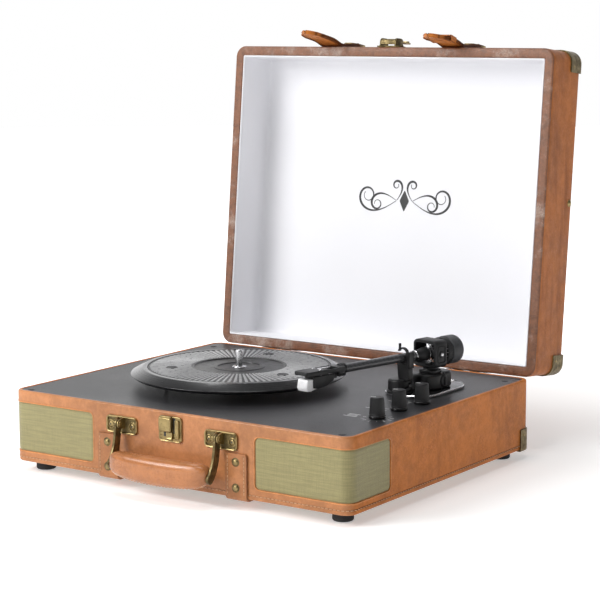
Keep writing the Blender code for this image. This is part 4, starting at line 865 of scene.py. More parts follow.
def make_piping():
    """A cord round each grille's opening: a circle carried round a round-cornered rectangle of the case's
    side."""
    piping = Shape()
    grow = 0.0006
    middle = (GRILLE_START + GRILLE_END) / 2, (GRILLE_LOW + GRILLE_HIGH) / 2
    size = GRILLE_END - GRILLE_START + 2 * grow, GRILLE_HIGH - GRILLE_LOW + 2 * grow
    loop = oblong(*size, 0.0055, 8, middle)
    loop = np.concatenate([np.linspace(a, b, max(2, int(np.linalg.norm(b - a) / 0.0022)), endpoint=False)
                           for a, b in zip(loop, np.roll(loop, -1, 0))])
    turn = np.linspace(0, 2 * pi, 10, endpoint=False)
    for side in (-1, 1):
        ahead, behind = np.roll(loop, -1, 0), np.roll(loop, 1, 0)
        way = (ahead - behind) / np.linalg.norm(ahead - behind, axis=1)[:, None]
        across = np.stack([way[:, 1], -way[:, 0]], 1)
        offset = 0.00050 * np.cos(turn)[None, :, None] * across[:, None] + loop[:, None]
        point, normal = round_case(offset[..., 0] * side)
        rise = -0.00005 + 0.00050 * np.sin(turn)[None, :, None]
        flat = point + normal * rise + (0, CASE_Y)
        piping.grid(np.dstack([flat, offset[..., 1]]), along=True)
    piping.build("grille_piping", piping_leather(), "player", "tan_leather")


def make_deck():
    """The deck's vinyl stays as it is. Screws sit in its corners, and ticks are printed beside the knobs."""
    paint("deck_plate", deck_vinyl())
    screws = Shape()
    slots = Shape()
    for x, y in ((-0.185, -0.158), (0.185, -0.158), (-0.185, 0.141), (0.185, 0.141)):
        at = moved(DECK, x, y + CASE_Y)
        screws.grid(dome_rows(0.0036, 0.0006, flat=0.25), at)
        for turn in (0.4, 0.4 + pi / 2):
            slots.slab(oblong(0.0036, 0.0007, 0.0002, 2), 0.0003, 0.00056, 0.0001,
                       at @ Matrix.Rotation(turn, 4, "Z"))
    screws.build("deck_screws", black_plastic(), "player", "black_plastic")
    # The slots are dark sheets of painted shade.
    slots.build("deck_screw_slots", ink_and_shade(), "player", "black_plastic")
    ticks = Shape()
    for name in ("knob_volume", "knob_mode", "knob_speed"):
        low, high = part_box(name)
        at = moved(DECK, (low.x + high.x) / 2, (low.y + high.y) / 2)
        turns = np.linspace(radians(120), radians(420), 11) if name == "knob_volume" else np.radians([150,
                                                                                                      180,
                                                                                                      210])
        for turn in turns:
            mark = at @ Matrix.Rotation(turn, 4, "Z")
            ticks.slab(oblong(0.0040, 0.0008, 0.0003, 2, (0.0135, 0)), -0.0001, 0.00006, 0.00003, mark)
        for row, length in enumerate((0.0150, 0.0110, 0.0130)):
            where = moved(at, -0.0270, 0.0042 * (row - 1))
            ticks.slab(oblong(length, 0.0013, 0.0004, 2), -0.0001, 0.00006, 0.00003, where)
    ticks.build("deck_print", print_white(), "player", "white_plastic")


# ---- Platter ----
def make_platter():
    """The platter is a turned ring with soft corners. The mat is turned too, with raised ribs that run
    outwards."""
    low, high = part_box("platter")
    top, skirt = high.z - DECK_Z, low.z - DECK_Z + 0.0030
    mat_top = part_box("slip_mat")[1].z - DECK_Z
    well = mat_top - 0.0026
    bulge, rim = (high.x - low.x) / 2, 0.0965
    at = axes((PLATTER.x, PLATTER.y, DECK_Z), (1, 0, 0), (0, 1, 0))
    Shape().spun([(0.0040, well - 0.002), (0.0040, well), (0.0919, well), (0.0919, top), (rim, top),
                  (bulge, top - 0.0062), (bulge - 0.0040, skirt), (bulge - 0.0085, skirt),
                  (bulge - 0.0095, well - 0.002)], 0.0009, at, 192, ring=True, fine=4).build("platter_ring",
                                                                                             platter_metal(),
                                                                                             "platter",
                                                                                             "platter_metal",
                                                                                             ["platter"])
    label = mat_top - 0.0011
    mat = [(0.0046, mat_top - 0.0022), (0.0046, label - 0.0003), (0.0215, label - 0.0003),
           (0.0218, label + 0.0006), (0.0258, label + 0.0006), (0.0262, label), (0.0448, label),
           (0.0455, mat_top), (0.0910, mat_top), (0.0916, mat_top - 0.0004), (0.0916, mat_top - 0.0022)]
    Shape().spun(mat, 0.0003, at, 192, ring=True).build("mat", mat_rubber(), "platter", "rubber",
                                                        ["slip_mat"])
    ribs = Shape()
    count = looks().ribs
    angle = np.arange(count) * 2 * pi / count
    hole_angles = np.radians([225.0, 100.0, 345.0])
    section = np.array([(-1, 0), (-0.62, 1), (0.62, 1), (1, 0), (1, -0.6), (-1, -0.6)])
    radius = np.array([0.0478, 0.0484, 0.0886, 0.0892])
    height = np.array([0.1, 1.0, 1.0, 0.1])
    half = radius * 2 * pi / count * 0.27
    rib = np.stack([np.broadcast_to(radius[:, None], (4, 6)), half[:, None] * section[:, 0],
                    0.00062 * height[:, None] * np.maximum(section[:, 1], -0.6)], -1)
    forward = np.column_stack([np.cos(angle), np.sin(angle), np.zeros(count)])
    middle = np.broadcast_to((PLATTER.x, PLATTER.y, DECK_Z + mat_top), forward.shape)
    ribs.copies(rib, middle, forward, np.broadcast_to((0.0, 0.0, 1.0), forward.shape))
    # The ribs' lighter grey is a painted sheen.
    ribs.build("mat_ribs", rib_rubber(), "platter", "rubber")
    holes, rings = Shape(), Shape()
    for hole in hole_angles:
        where = moved(at, 0.068 * cos(hole), 0.068 * sin(hole), mat_top)
        holes.turned([(0.0050, -0.001), (0.0050, 0.00075), (0.0001, 0.00075)], where, 24)
        rings.spun([(0.0046, -0.0004), (0.0046, 0.0010), (0.0056, 0.0010), (0.0058, -0.0004)], 0.0003, where,
                   32, ring=True, fine=2)
    # Each hole is a dark disc of painted shade.
    holes.build("mat_holes", ink_and_shade(), "platter", "rubber")
    rings.build("mat_hole_lips", mat_rubber(), "platter", "rubber")

    spindle_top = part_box("spindle")[1].z - DECK_Z
    shape = Shape().spun([(0.0036, 0.001), (0.0036, spindle_top - 0.0012), (0.0026, spindle_top),
                          (0.0003, spindle_top)], 0.0009, at, 48, fine=4)
    shape.spun([(0.0037, label - 0.0006), (0.0072, label - 0.0006), (0.0072, label + 0.0004),
                (0.0056, label + 0.0010), (0.0037, label + 0.0010)], 0.0005, at, 48, ring=True)
    shape.build("spindle_pin", steel(), "player", "steel", ["spindle"])


# ---- Tonearm ----
def make_arm_base():
    """The tonearm's plate has a raised edge, and its housing is a slab under a turned turret."""
    low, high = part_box("tonearm_base")
    wide, long_ = high.x - low.x, high.y - low.y
    plate = oblong(wide, long_, wide / 2 - 0.0008, 16, ((low.x + high.x) / 2, (low.y + high.y) / 2))
    at = axes((0, 0, low.z), (1, 0, 0), (0, 1, 0))
    Shape().slab(plate, 0, 0.0030, 0.0007, at).build("arm_plate", gloss_plastic(), "player", "gloss_plastic",
                                                     ["tonearm_base"])
    ring = Shape()
    edge = [inset(plate, d) for d in (-0.0003, -0.0006, -0.0004, 0.0003, 0.0006)]
    heights = (0.0002, 0.0010, 0.0026, 0.0032, 0.0022)
    ring.grid(level_rows(zip(edge, heights)), at, along=True)
    ring.build("arm_plate_edge", steel(), "player", "steel")

    low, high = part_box("tonearm_housing")
    lift = 0.0188
    middle = ((low.x + high.x) / 2, (low.y + high.y) / 2)
    body = oblong(high.x - low.x, high.y - low.y, 0.0143, 14, middle)
    shape = Shape().slab(body, low.z - DECK_Z, lift, 0.0022, DECK, 5)
    shape.slab(oblong(0.019, 0.019, 0.006, 8, (PIVOT.x, PIVOT.y)), lift - 0.001, lift + 0.0032, 0.0008, DECK)
    shape.spun([(0.0085, lift), (0.0085, lift + 0.0025), (0.0072, lift + 0.0036), (0.0072, high.z - DECK_Z)],
               0.0006, moved(DECK, PIVOT.x, PIVOT.y), 48)
    shape.build("arm_housing", black_plastic(), "player", "black_plastic", ["tonearm_housing"])

    dial = Shape()
    where = moved(DECK, middle[0] + 0.0143, middle[1] - 0.002, 0.0115) @ Matrix.Rotation(pi / 2, 4, "Y")
    dial.spun([(0.0060, -0.001), (0.0060, 0.0014), (0.0052, 0.0020), (0.0006, 0.0020)], 0.0004, where, 40)
    dial.slab(oblong(0.0085, 0.0016, 0.0006, 3), 0.0018, 0.0032, 0.0004, where)
    dial.build("anti_skate_dial", satin_plastic(), "player", "black_plastic")
    marks = Shape()
    for turn in np.linspace(radians(-60), radians(240), 8):
        mark = moved(where @ Matrix.Rotation(turn, 4, "Z"), 0.0074)
        marks.slab(oblong(0.0014, 0.0003, 0.0001, 2), -0.0004, 0.00012, 0.00004, mark)
    marks.build("anti_skate_marks", print_white(), "player", "white_plastic")


def make_rest():
    """The lift housing is a turned drum. The rest's post and prongs are slabs across the arm."""
    x, y = 0.1335, 0.0225 + CASE_Y
    shape = Shape().spun([(0.0113, 0.0036), (0.0118, 0.0044), (0.0118, 0.0152), (0.0104, 0.0168),
                          (0.0004, 0.0168)], 0.0010, moved(DECK, x, y), 64, fine=4)
    shape.spun([(0.0132, 0.0034), (0.0132, 0.0050), (0.0119, 0.0056), (0.0116, 0.0056)], 0.0005,
               moved(DECK, x, y), 64)
    across = ARM @ axes((0, -0.038, 0), (1, 0, 0), (0, 0, 1))
    drop = DECK_Z + 0.0160 - PIVOT.z
    shape.plate([(-0.0042, drop), (0.0090, drop), (0.0092, -0.0100), (0.0062, -0.0052), (-0.0040, -0.0052),
                 (-0.0058, -0.0088)], 0.0010, -0.0034, 0.0034, 0.0006, across)
    shape.plate([(-0.0060, -0.0064), (-0.0040, -0.0052), (0.0050, -0.0052), (0.0062, -0.0006),
                 (0.0060, 0.0060), (0.0102, 0.0062), (0.0100, -0.0090), (-0.0045, -0.0100)], 0.0006, -0.0030,
                0.0030, 0.0005, across, fine=2)
    shape.build("lift_drum", black_plastic(), "player", "black_plastic", ["lift_housing"])
    paint("lift_platform", satin_plastic())
    paint("cue_lever", black_plastic())
    paint("rest_clip", satin_plastic())


def make_gimbal():
    """The frame is a ring between two round-cornered rectangles, softened front and back."""
    wide, tall, deep, wall = 0.0306, 0.0272, 0.0168, 0.0034
    outline = oblong(wide, tall, 0.0050, 8)
    window = oblong(wide - 2 * wall, tall - 2 * wall, 0.0026, 8)
    levels = [(outline, 0.0009, -1.0), (outline, 0.00026, -0.93), (outline, 0.0, -0.86), (outline, 0.0, 0.86),
              (outline, 0.00026, 0.93), (outline, 0.0009, 1.0), (window, -0.0007, 1.0),
              (window, -0.0002, 0.94), (window, 0.0, 0.88), (window, 0.0, -0.88), (window, -0.0002, -0.94),
              (window, -0.0007, -1.0)]
    rows = level_rows((inset(o, d), t * deep / 2) for o, d, t in levels)
    across = ARM @ axes((0, 0, 0), (1, 0, 0), (0, 0, 1))
    shape = Shape().grid(rows, across, along=True)
    for side in (-1, 1):
        panel = oblong(0.0118, 0.0175, 0.0028, 6)
        face = ARM @ axes((side * (wide / 2 - 0.0004), 0, 0), (0, side, 0), (0, 0, 1))
        rim = [(0, 0), (0.0001, 0.0009), (0.0007, 0.0012), (0.0013, 0.0009), (0.0013, 0.0)]
        shape.grid(level_rows((inset(panel, d), h) for d, h in rim), face, along=True)
        shape.spun([(0.0036, 0), (0.0036, 0.0010), (0.0026, 0.0014), (0.0002, 0.0014)], 0.0004, face, 28,
                   fine=2)
    shape.spun([(0.0046, -0.018), (0.0046, -0.0136)], 0.0003, moved(ARM, 0, 0, -0.0004), 32, fine=2)
    shape.build("gimbal_ring", satin_plastic(), "gimbal", "black_plastic", ["gimbal_frame"])
    pins = Shape()
    for side in (-1, 1):
        where = ARM @ Matrix.Rotation(0 if side > 0 else pi, 4, "X")
        pins.spun([(0.0021, tall / 2 - wall - 0.0026), (0.0021, tall / 2 - wall + 0.0004)], 0.0002, where, 24,
                  fine=2)
        pins.turned([(0.0012, tall / 2 - wall - 0.0038), (0.0012, tall / 2 - wall)], where, 16)
    for side in (-1, 1):
        face = ARM @ axes((side * (wide / 2 + 0.0009), 0, 0), (0, side, 0), (0, 0, 1))
        pins.grid(dome_rows(0.0019, 0.0006), face)
    pins.build("gimbal_screws", steel(), "gimbal", "steel")


def make_arm():
    """Tube, collars and stub are turned round the arm's line."""
    along = ARM @ ALONG_Y
    tube = Shape()
    tube.turned([(0.00425, -0.124), (0.00425, -0.010)], along, 40)
    tube.build("arm_tube_skin", carbon(), "tonearm", "arm_metal", ["arm_tube"])
    shape = Shape()
    shape.spun([(0.0044, -0.0240), (0.0050, -0.0225), (0.0050, -0.0190), (0.0066, -0.0105), (0.0066, -0.0060),
                (0.0050, -0.0048), (0.0050, 0.0060), (0.0034, 0.0070), (0.0034, 0.0372)], 0.0007, along, 40)
    shape.slab(oblong(0.0215, 0.0085, 0.0016, 4), -0.0042, 0.0042, 0.0008, ARM)
    shape.build("arm_collar", satin_plastic(), "tonearm", "black_plastic")
    bands = Shape()
    for start in (-0.0236, -0.0068):
        size = 0.0052 if start < -0.01 else 0.0068
        bands.spun([(size - 0.0006, start), (size, start + 0.0003), (size, start + 0.0010),
                    (size - 0.0006, start + 0.0013)], 0.0002, along, 40, fine=2)
    bands.build("arm_bands", steel(), "tonearm", "steel")

    dial, weight = Shape(), Shape()
    angle = np.linspace(0, 2 * pi, 240, endpoint=False)
    profile = soften([(0.0041, 0.0125), (0.0128, 0.0125), (0.0138, 0.0134), (0.0138, 0.0192),
                      (0.0132, 0.0196), (0.0041, 0.0196)], 0.0004, 3)
    rows = turned_rows(profile, 240)
    knurl = 1 - 0.018 * (0.5 + 0.5 * np.cos(48 * angle)) * (profile[:, :1] > 0.0133)
    rows[..., :2] *= knurl[..., None]
    dial.grid(rows, along, along=True)
    dial.build("force_ring", satin_plastic(), "weight_carrier", "black_plastic", ["force_dial"])
    marks = Shape()
    for turn in np.linspace(0, 2 * pi, 20, endpoint=False):
        mark = along @ Matrix.Rotation(turn, 4, "Z") @ axes((0.0114, 0, 0.0125), (1, 0, 0), (0, -1, 0))
        marks.slab(oblong(0.0022, 0.0004, 0.0001, 2), -0.0001, 0.00008, 0.00003, mark)
    marks.build("force_marks", print_white(), "weight_carrier", "white_plastic")
    back = 0.0363
    weight.spun([(0.0056, 0.0199), (0.0138, 0.0199), (0.0143, 0.0205), (0.0143, back - 0.0030),
                 (0.0122, back), (0.0056, back), (0.0050, back - 0.0018)], 0.0010, along, 96, ring=True,
                fine=4)
    weight.build("balance_weight", weight_paint(), "counterweight", "weight_metal", ["counterweight"])
    hole = Shape()
    for turn in (0.35, 0.35 + pi):
        where = along @ Matrix.Rotation(turn, 4, "Z") @ axes((0.0140, 0, 0.0300), (0, 1, 0), (0, 0, 1))
        hole.turned([(0.0012, -0.0006), (0.0012, 0.00042), (0.0001, 0.00042)], where, 20)
    # Each hole is a dark disc of painted shade.
    hole.build("balance_weight_holes", ink_and_shade(), "counterweight", "weight_metal")


def make_head():
    """The headshell is a stepped slab with two openings, above the cartridge, and four lead wires bridge the
    space behind it on curved paths."""
    shape = Shape()
    front, rear = -0.1765, -0.1265
    at = ARM
    rails = [(-0.0086, 0.0015), (0.0071, 0.0015)]
    for left, thick in rails:
        shape.plate([(left, front + 0.001), (left + thick, front + 0.001), (left + thick, rear),
                     (left, rear)], 0.0006, -0.0004, 0.0036, 0.0004, at, fine=2)
    shape.plate([(-0.0086, front), (0.0086, front), (0.0086, front + 0.030), (-0.0086, front + 0.030)],
                0.0016, 0.0020, 0.0040, 0.0005, at)
    shape.plate([(-0.0080, front - 0.0010), (0.0080, front - 0.0010), (0.0086, front + 0.0080),
                 (-0.0086, front + 0.0080)], 0.0014, 0.0008, 0.0036, 0.0006, at)
    shape.plate([(-0.0086, rear - 0.0080), (0.0086, rear - 0.0080), (0.0060, rear + 0.0020),
                 (-0.0060, rear + 0.0020)], 0.0014, -0.0050, 0.0040, 0.0008, at)
    along = ARM @ ALONG_Y
    shape.spun([(0.0050, rear - 0.001), (0.0058, rear + 0.0008), (0.0058, rear + 0.0055),
                (0.0046, rear + 0.0068)], 0.0006, along, 40)
    shape.build("head_frame", black_plastic(), "tonearm", "black_plastic", ["headshell"])

    lift = Shape()
    path = smooth_path([(0.0080, -0.1310, -0.0030), (0.0105, -0.1316, -0.0034), (0.0130, -0.1330, -0.0026),
                        (0.0158, -0.1350, 0.0002)], 14)
    section = oblong(0.0046, 0.0011, 0.0005, 3)
    side = np.array([0.0, 1.0, 0.0])
    scale = np.column_stack([np.interp(np.linspace(0, 1, 14), [0, 0.8, 0.94, 1], [1, 0.9, 0.7, 0.35]),
                             np.ones(14)])
    lift.grid(swept_rows(path, section, side, scale), at)
    lift.build("finger_lift", black_plastic(), "tonearm", "black_plastic")

    body = Shape()
    across = ARM @ axes((0, 0, 0), (0, -1, 0), (0, 0, 1))
    body.plate([(0.1655, -0.0012), (0.1655, -0.0122), (0.1600, -0.0132), (0.1490, -0.0118), (0.1400, -0.0075),
                (0.1385, -0.0012)][::-1], 0.0010, -0.0068, 0.0068, 0.0008, across)
    body.slab(soften([(0.1380, 0.0010), (0.1350, 0.0010), (0.1350, -0.0060), (0.1400, -0.0060)][::-1] ,
                     0.0005, 2, closed=True)[::-1], -0.0058, 0.0058, 0.0004, across)
    body.build("cartridge_body", black_plastic(), "tonearm", "black_plastic", ["cartridge"])

    guard = Shape()
    guard.plate([(0.1740, -0.0034), (0.1752, -0.0118), (0.1738, -0.0146), (0.1676, -0.0144),
                 (0.1664, -0.0034)][::-1], 0.0010, -0.0066, 0.0066, 0.0010, across, 4)
    for x in np.linspace(-0.0052, 0.0052, 7):
        guard.plate([(0.1742, -0.0042), (0.1758, -0.0116), (0.1744, -0.0136), (0.1730, -0.0050)][::-1],
                    0.0006, x - 0.0005, x + 0.0005, 0.0002, across, 2, fine=2)
    guard.plate([(0.1668, -0.0060), (0.1668, -0.0146), (0.1575, -0.0128), (0.1590, -0.0090)][::-1], 0.0006,
                -0.0050, 0.0050, 0.0006, across, fine=2)
    guard.spun([(0.0003, -0.0167), (0.0010, -0.0150), (0.0014, -0.0120)], 0.0003, moved(ARM, 0, -0.1635, 0.0),
               12, fine=2)
    guard.build("stylus_guard", white_plastic(), "tonearm", "white_plastic", ["stylus"])

    bits = Shape()
    for x in (-0.0048, 0.0048):
        bits.grid(dome_rows(0.0019, 0.0009, flat=0.3), moved(at, x, -0.1560, 0.0040))
        bits.turned([(0.0008, -0.0060), (0.0008, -0.0030)], ARM @ axes((x * 0.9, -0.1350, -0.0015), (0, 0, 1),
                                                                       (1, 0, 0)), 12)
    bits.slab(oblong(0.0030, 0.0160, 0.0008, 3, (0, -0.1470)), 0.0038, 0.0043, 0.0002, at)
    for x, y in ((-0.0048, -0.1560), (0.0048, -0.1560), (-0.0048, -0.1450), (0.0048, -0.1450)):
        bits.turned([(0.0013, -0.0020), (0.0013, 0.0026)], moved(at, x, y), 16)
    bits.build("head_screws", steel(), "tonearm", "steel")
    for index, (name, colour) in enumerate((("red", (0.40, 0.03, 0.03)), ("green", (0.03, 0.22, 0.07)),
                                            ("white", (0.62, 0.62, 0.60)), ("blue", (0.04, 0.07, 0.35)))):
        x = -0.0045 + 0.0030 * index
        path = smooth_path([(x, -0.1352, -0.0020), (x * 1.15, -0.1325, 0.0012), (x * 0.9, -0.1300, 0.0008),
                            (x * 0.7, -0.1270, -0.0015)], 16)
        wire = Shape().grid(swept_rows(path, disc(0.00045, 10), (1.0, 0.0, 0.0)), at)
        FINISHES.setdefault(f"wire_{name}", plastic_finish(f"{name} wire", colour, 0.35).material)
        wire.build(f"lead_wire_{name}", FINISHES[f"wire_{name}"], "tonearm", "black_plastic")


# ---- Knobs ----
FLUTES, KNOB_STEPS = 36, 216


def make_knobs():
    """A knob is turned, and its radius falls by a cosine of the angle along its grip, which makes flutes."""
    for name, body in (("volume", "knob_volume"), ("mode", "knob_mode"), ("speed", "knob_speed")):
        low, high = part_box(f"knob_{name}")
        x, y = (low.x + high.x) / 2, (low.y + high.y) / 2
        top = high.z - DECK_Z
        at = moved(DECK, x, y)
        profile = soften([(0.0074, 0.0032), (0.0073, 0.0042), (0.0064, top - 0.0008), (0.0054, top),
                          (0.0046, top - 0.0002), (0.0003, top - 0.0002)], 0.0006, 4)
        grip = np.linspace(0.0046, top - 0.0016, 12)
        wall = np.interp(grip, [0.0042, top - 0.0008], [0.0073, 0.0064])
        profile = np.concatenate([profile[:5], np.column_stack([wall, grip]), profile[8:]])
        profile = profile[np.argsort(profile[:, 1] + 1e-3 * (profile[:, 0] < 0.005), kind="stable")]
        angle = np.linspace(0, 2 * pi, KNOB_STEPS, endpoint=False)
        rows = turned_rows(profile, KNOB_STEPS)
        fluted = ((profile[:, 1] > 0.0045) & (profile[:, 1] < top - 0.0014))[:, None]
        rows[..., :2] *= (1 - 0.030 * (0.5 + 0.5 * np.cos(FLUTES * angle)) * fluted)[..., None]
        Shape().grid(rows, at).build(f"{body}_grip", black_plastic(), body, "black_plastic", [f"knob_{name}"])
        Shape().spun([(0.0034, 0.0006), (0.0079, 0.0006), (0.0080, 0.0010), (0.0080, 0.0026),
                      (0.0074, 0.0034), (0.0034, 0.0034)], 0.0004, at, 72, ring=True).build(f"{body}_foot",
                                                                                            gloss_plastic(),
                                                                                            body,
                                                                                            "gloss_plastic")
        mark = Shape().slab(oblong(0.0048, 0.0007, 0.0003, 3, (0.0036, 0)), top - 0.0003, top + 0.00012,
                            0.00008, at @ Matrix.Rotation(radians(200), 4, "Z"))
        mark.build(f"{body}_mark", print_white(), body, "white_plastic")


# ---- Front hardware ----
def screw_head(shape, slots, at, radius=0.0026):
    """A domed head with a cross of two dark slots."""
    shape.grid(dome_rows(radius, radius * 0.42, flat=0.3), at)
    for turn in (0.5, 0.5 + pi / 2):
        slots.slab(oblong(radius * 1.1, radius * 0.24, radius * 0.08, 2), radius * 0.30, radius * 0.43,
                   radius * 0.03, at @ Matrix.Rotation(turn, 4, "Z"))


def make_handle():
    """The grip is a squircle carried along a bow. Each arm is a flat bar that bends out into the grip's
    end."""
    hinge = Vector(JOINTS["handle_hinge"]["pos_m"])
    pin_out = FRONT_Y - hinge.y
    plates, slots, dark = Shape(), Shape(), Shape()
    for side in (-1, 1):
        x = side * BRACKET_X
        plate = oblong(0.0375, 0.0170, 0.0040, 7, (x, 0.0625))
        dark.slab(inset(plate, 0.0008), 0.0003, 0.0012, 0.0003, FRONT)
        rim = [(0, 0.0003), (0.0001, 0.0020), (0.0008, 0.0026), (0.0017, 0.0022), (0.0020, 0.0010)]
        plates.grid(level_rows((inset(plate, d), h) for d, h in rim), FRONT, along=True)
        for edge in (-1, 1):
            screw_head(plates, slots, moved(FRONT, x + edge * 0.0132, 0.0622, 0.0014))
            plates.spun([(0.0034, 0.0010), (0.0036, 0.0020), (0.0042, 0.0019), (0.0046, 0.0010)], 0.0003,
                        moved(FRONT, x + edge * 0.0132, 0.0622), 32, ring=True, fine=2)
            ear = axes((x + edge * 0.0027, FRONT_Y, 0), (0, -1, 0), (0, 0, 1))
            plates.plate([(0.0008, hinge.z - 0.0060), (0.0035, hinge.z - 0.0058),
                          (pin_out + 0.0036, hinge.z - 0.0030), (pin_out + 0.0040, hinge.z + 0.0022),
                          (pin_out, hinge.z + 0.0044), (0.0008, hinge.z + 0.0056)], 0.0018, -0.0007, 0.0007,
                         0.0003, ear, fine=4)
        plates.spun([(0.0001, -0.0042), (0.0024, -0.0042), (0.0026, -0.0034), (0.0018, -0.0032),
                     (0.0018, 0.0032), (0.0026, 0.0034), (0.0024, 0.0042), (0.0001, 0.0042)], 0.0003,
                    axes((x, hinge.y, hinge.z), (0, 1, 0), (0, 0, 1)), 24, fine=2)
    plates.build("handle_brackets", bright_brass(), "player", "antique_brass", ["handle_bracket_left",
                                                                                "handle_bracket_right"])
    # The screws' slots are dark sheets of painted shade.
    slots.build("handle_bracket_slots", ink_and_shade(), "player", "antique_brass")
    # The beds' darker bronze is painted shade in the recess inside each rim.
    dark.build("handle_bracket_beds", dark_brass(), "player", "antique_brass")

    arms = Shape()
    for side in (-1, 1):
        x = side * BRACKET_X
        path = smooth_path([(x, hinge.y, hinge.z + 0.0008), (x, hinge.y - 0.0012, hinge.z - 0.012),
                            (x, hinge.y - 0.0040, hinge.z - 0.024), (x, hinge.y - 0.0095, hinge.z - 0.0345),
                            (x, hinge.y - 0.0150, hinge.z - 0.0385)], 28)
        section = soften([(-0.0014, -0.0042), (0.0014, -0.0042), (0.0014, 0.0042), (-0.0014, 0.0042)], 0.0006,
                         3, closed=True)
        t = np.linspace(0, 1, 28)
        width = np.interp(t, [0, 0.04, 0.10, 0.85, 0.97, 1], [0.55, 0.8, 1.0, 1.05, 0.8, 0.45])
        arms.grid(swept_rows(path, section, (1.0, 0.0, 0.0), np.column_stack([np.ones(28), width])))
        arms.spun([(0.0018, -0.0016), (0.0040, -0.0016), (0.0046, -0.0012), (0.0046, 0.0012),
                   (0.0040, 0.0016), (0.0018, 0.0016)], 0.0004, axes((x, hinge.y, hinge.z), (0, 1, 0),
                                                                     (0, 0, 1)), 32, ring=True, fine=2)
    # The arms' darker bronze is painted shade, the shaded sides of the bars put into the colour.
    arms.build("handle_arms", dark_brass(), "handle", "antique_brass",
               ["handle_arm_left", "handle_arm_right"])

    grip = Shape()
    count = 61
    t = np.sin(np.linspace(-pi / 2, pi / 2, count))
    reach = 0.0572
    x = t * reach
    y = hinge.y - 0.0110 - 0.0035 * (1 - t**2)
    z = hinge.z - 0.0335 - 0.0022 * (1 - t**2)
    angle = np.linspace(0, 2 * pi, 48, endpoint=False)
    power = 0.62
    rounded = 0.34 + 0.66 * np.sqrt(np.maximum(0, 1 - np.abs(t) ** 9))
    deep = 0.0100 * rounded * (1 - 0.12 * t**2)
    tall = 0.0128 * rounded * (1 - 0.10 * t**2)
    ring_y = np.sign(np.cos(angle)) * np.abs(np.cos(angle)) ** power
    ring_z = np.sign(np.sin(angle)) * np.abs(np.sin(angle)) ** power
    rows = np.stack([np.broadcast_to(x[:, None], (count, 48)), y[:, None] + deep[:, None] * ring_y,
                     z[:, None] + tall[:, None] * ring_z], -1)
    grip.grid(rows)
    grip.build("handle_leather", grip_leather(), "handle", "tan_leather", ["handle_grip"])
    seam = Shape()
    line = np.column_stack([x, y - deep * 0.55, z - tall * 0.955])[3:-3]
    middles, forward = spaced(line, looks().stitch * 1.3)
    up = np.broadcast_to((0.0, -0.45, -0.893), middles.shape)
    seam.copies(stitch_rows(looks().stitch, THREAD), middles + up * 0.0001, forward, up)
    seam.build("handle_stitches", thread(), "handle", "tan_leather")


def make_latch():
    """A plate with a raised cover, a window in it, and the release tab below."""
    shape, slots = Shape(), Shape()
    plate = oblong(0.027, 0.0245, 0.0034, 6, (0, 0.0655))
    shape.slab(plate, 0.0003, 0.0015, 0.0005, FRONT)
    rim = [(0, 0.0006), (0.0001, 0.0018), (0.0006, 0.0021), (0.0012, 0.0018), (0.0014, 0.0010)]
    shape.grid(level_rows((inset(plate, d), h) for d, h in rim), FRONT, along=True)
    shape.slab(oblong(0.0145, 0.0135, 0.0016, 5, (-0.0035, 0.0700)), 0.0012, 0.0062, 0.0011, FRONT)
    shape.slab(oblong(0.0130, 0.0018, 0.0007, 3, (-0.0035, 0.0772)), 0.0010, 0.0050, 0.0004, FRONT)
    shape.slab(oblong(0.0046, 0.0180, 0.0012, 4, (0.0088, 0.0660)), 0.0012, 0.0036, 0.0006, FRONT)
    for x, z in ((-0.0112, 0.0600), (-0.0112, 0.0570), (0.0088, 0.0600), (0.0088, 0.0722)):
        high = 0.0034 if x > 0 else 0.0014
        shape.grid(dome_rows(0.0011, 0.0006), moved(FRONT, x, z, high))
    shape.build("latch_cover", brass(), "player", "antique_brass", ["latch_plate"])
    # Dark sheets of painted shade: one in the window, and one as the shadow between the cover and the bar.
    slots.slab(oblong(0.0100, 0.0050, 0.0008, 3, (-0.0025, 0.0605)), 0.0014, 0.0017, 0.0001, FRONT)
    slots.slab(oblong(0.0022, 0.0150, 0.0006, 3, (0.0052, 0.0690)), 0.0014, 0.0019, 0.0001, FRONT)
    slots.build("latch_painted_shade", ink_and_shade(), "player", "antique_brass")
    tab = Shape()
    across = axes((0, FRONT_Y, 0), (0, -1, 0), (0, 0, 1))
    tab.plate([(0.0016, 0.0630), (0.0036, 0.0630), (0.0038, 0.0580), (0.0048, 0.0562), (0.0036, 0.0553),
               (0.0018, 0.0572)][::-1], 0.0006, -0.0036, 0.0036, 0.0004, across)
    tab.build("latch_tab", brass(), "latch_lever", "antique_brass", ["latch_lever"])


def band(shape, path, wide, thick, side, taper=None, lid=None):
    """A strap: a flat rounded section carried along a path, narrowed towards its tip by taper."""
    section = soften([(-wide / 2, 0), (wide / 2, 0), (wide / 2, thick), (-wide / 2, thick)], thick * 0.45, 3,
                     closed=True)
    count = len(path)
    scale = np.ones((count, 2)) if taper is None else np.column_stack([taper, np.ones(count)])
    shape.grid(swept_rows(path, section, side, scale), lid)


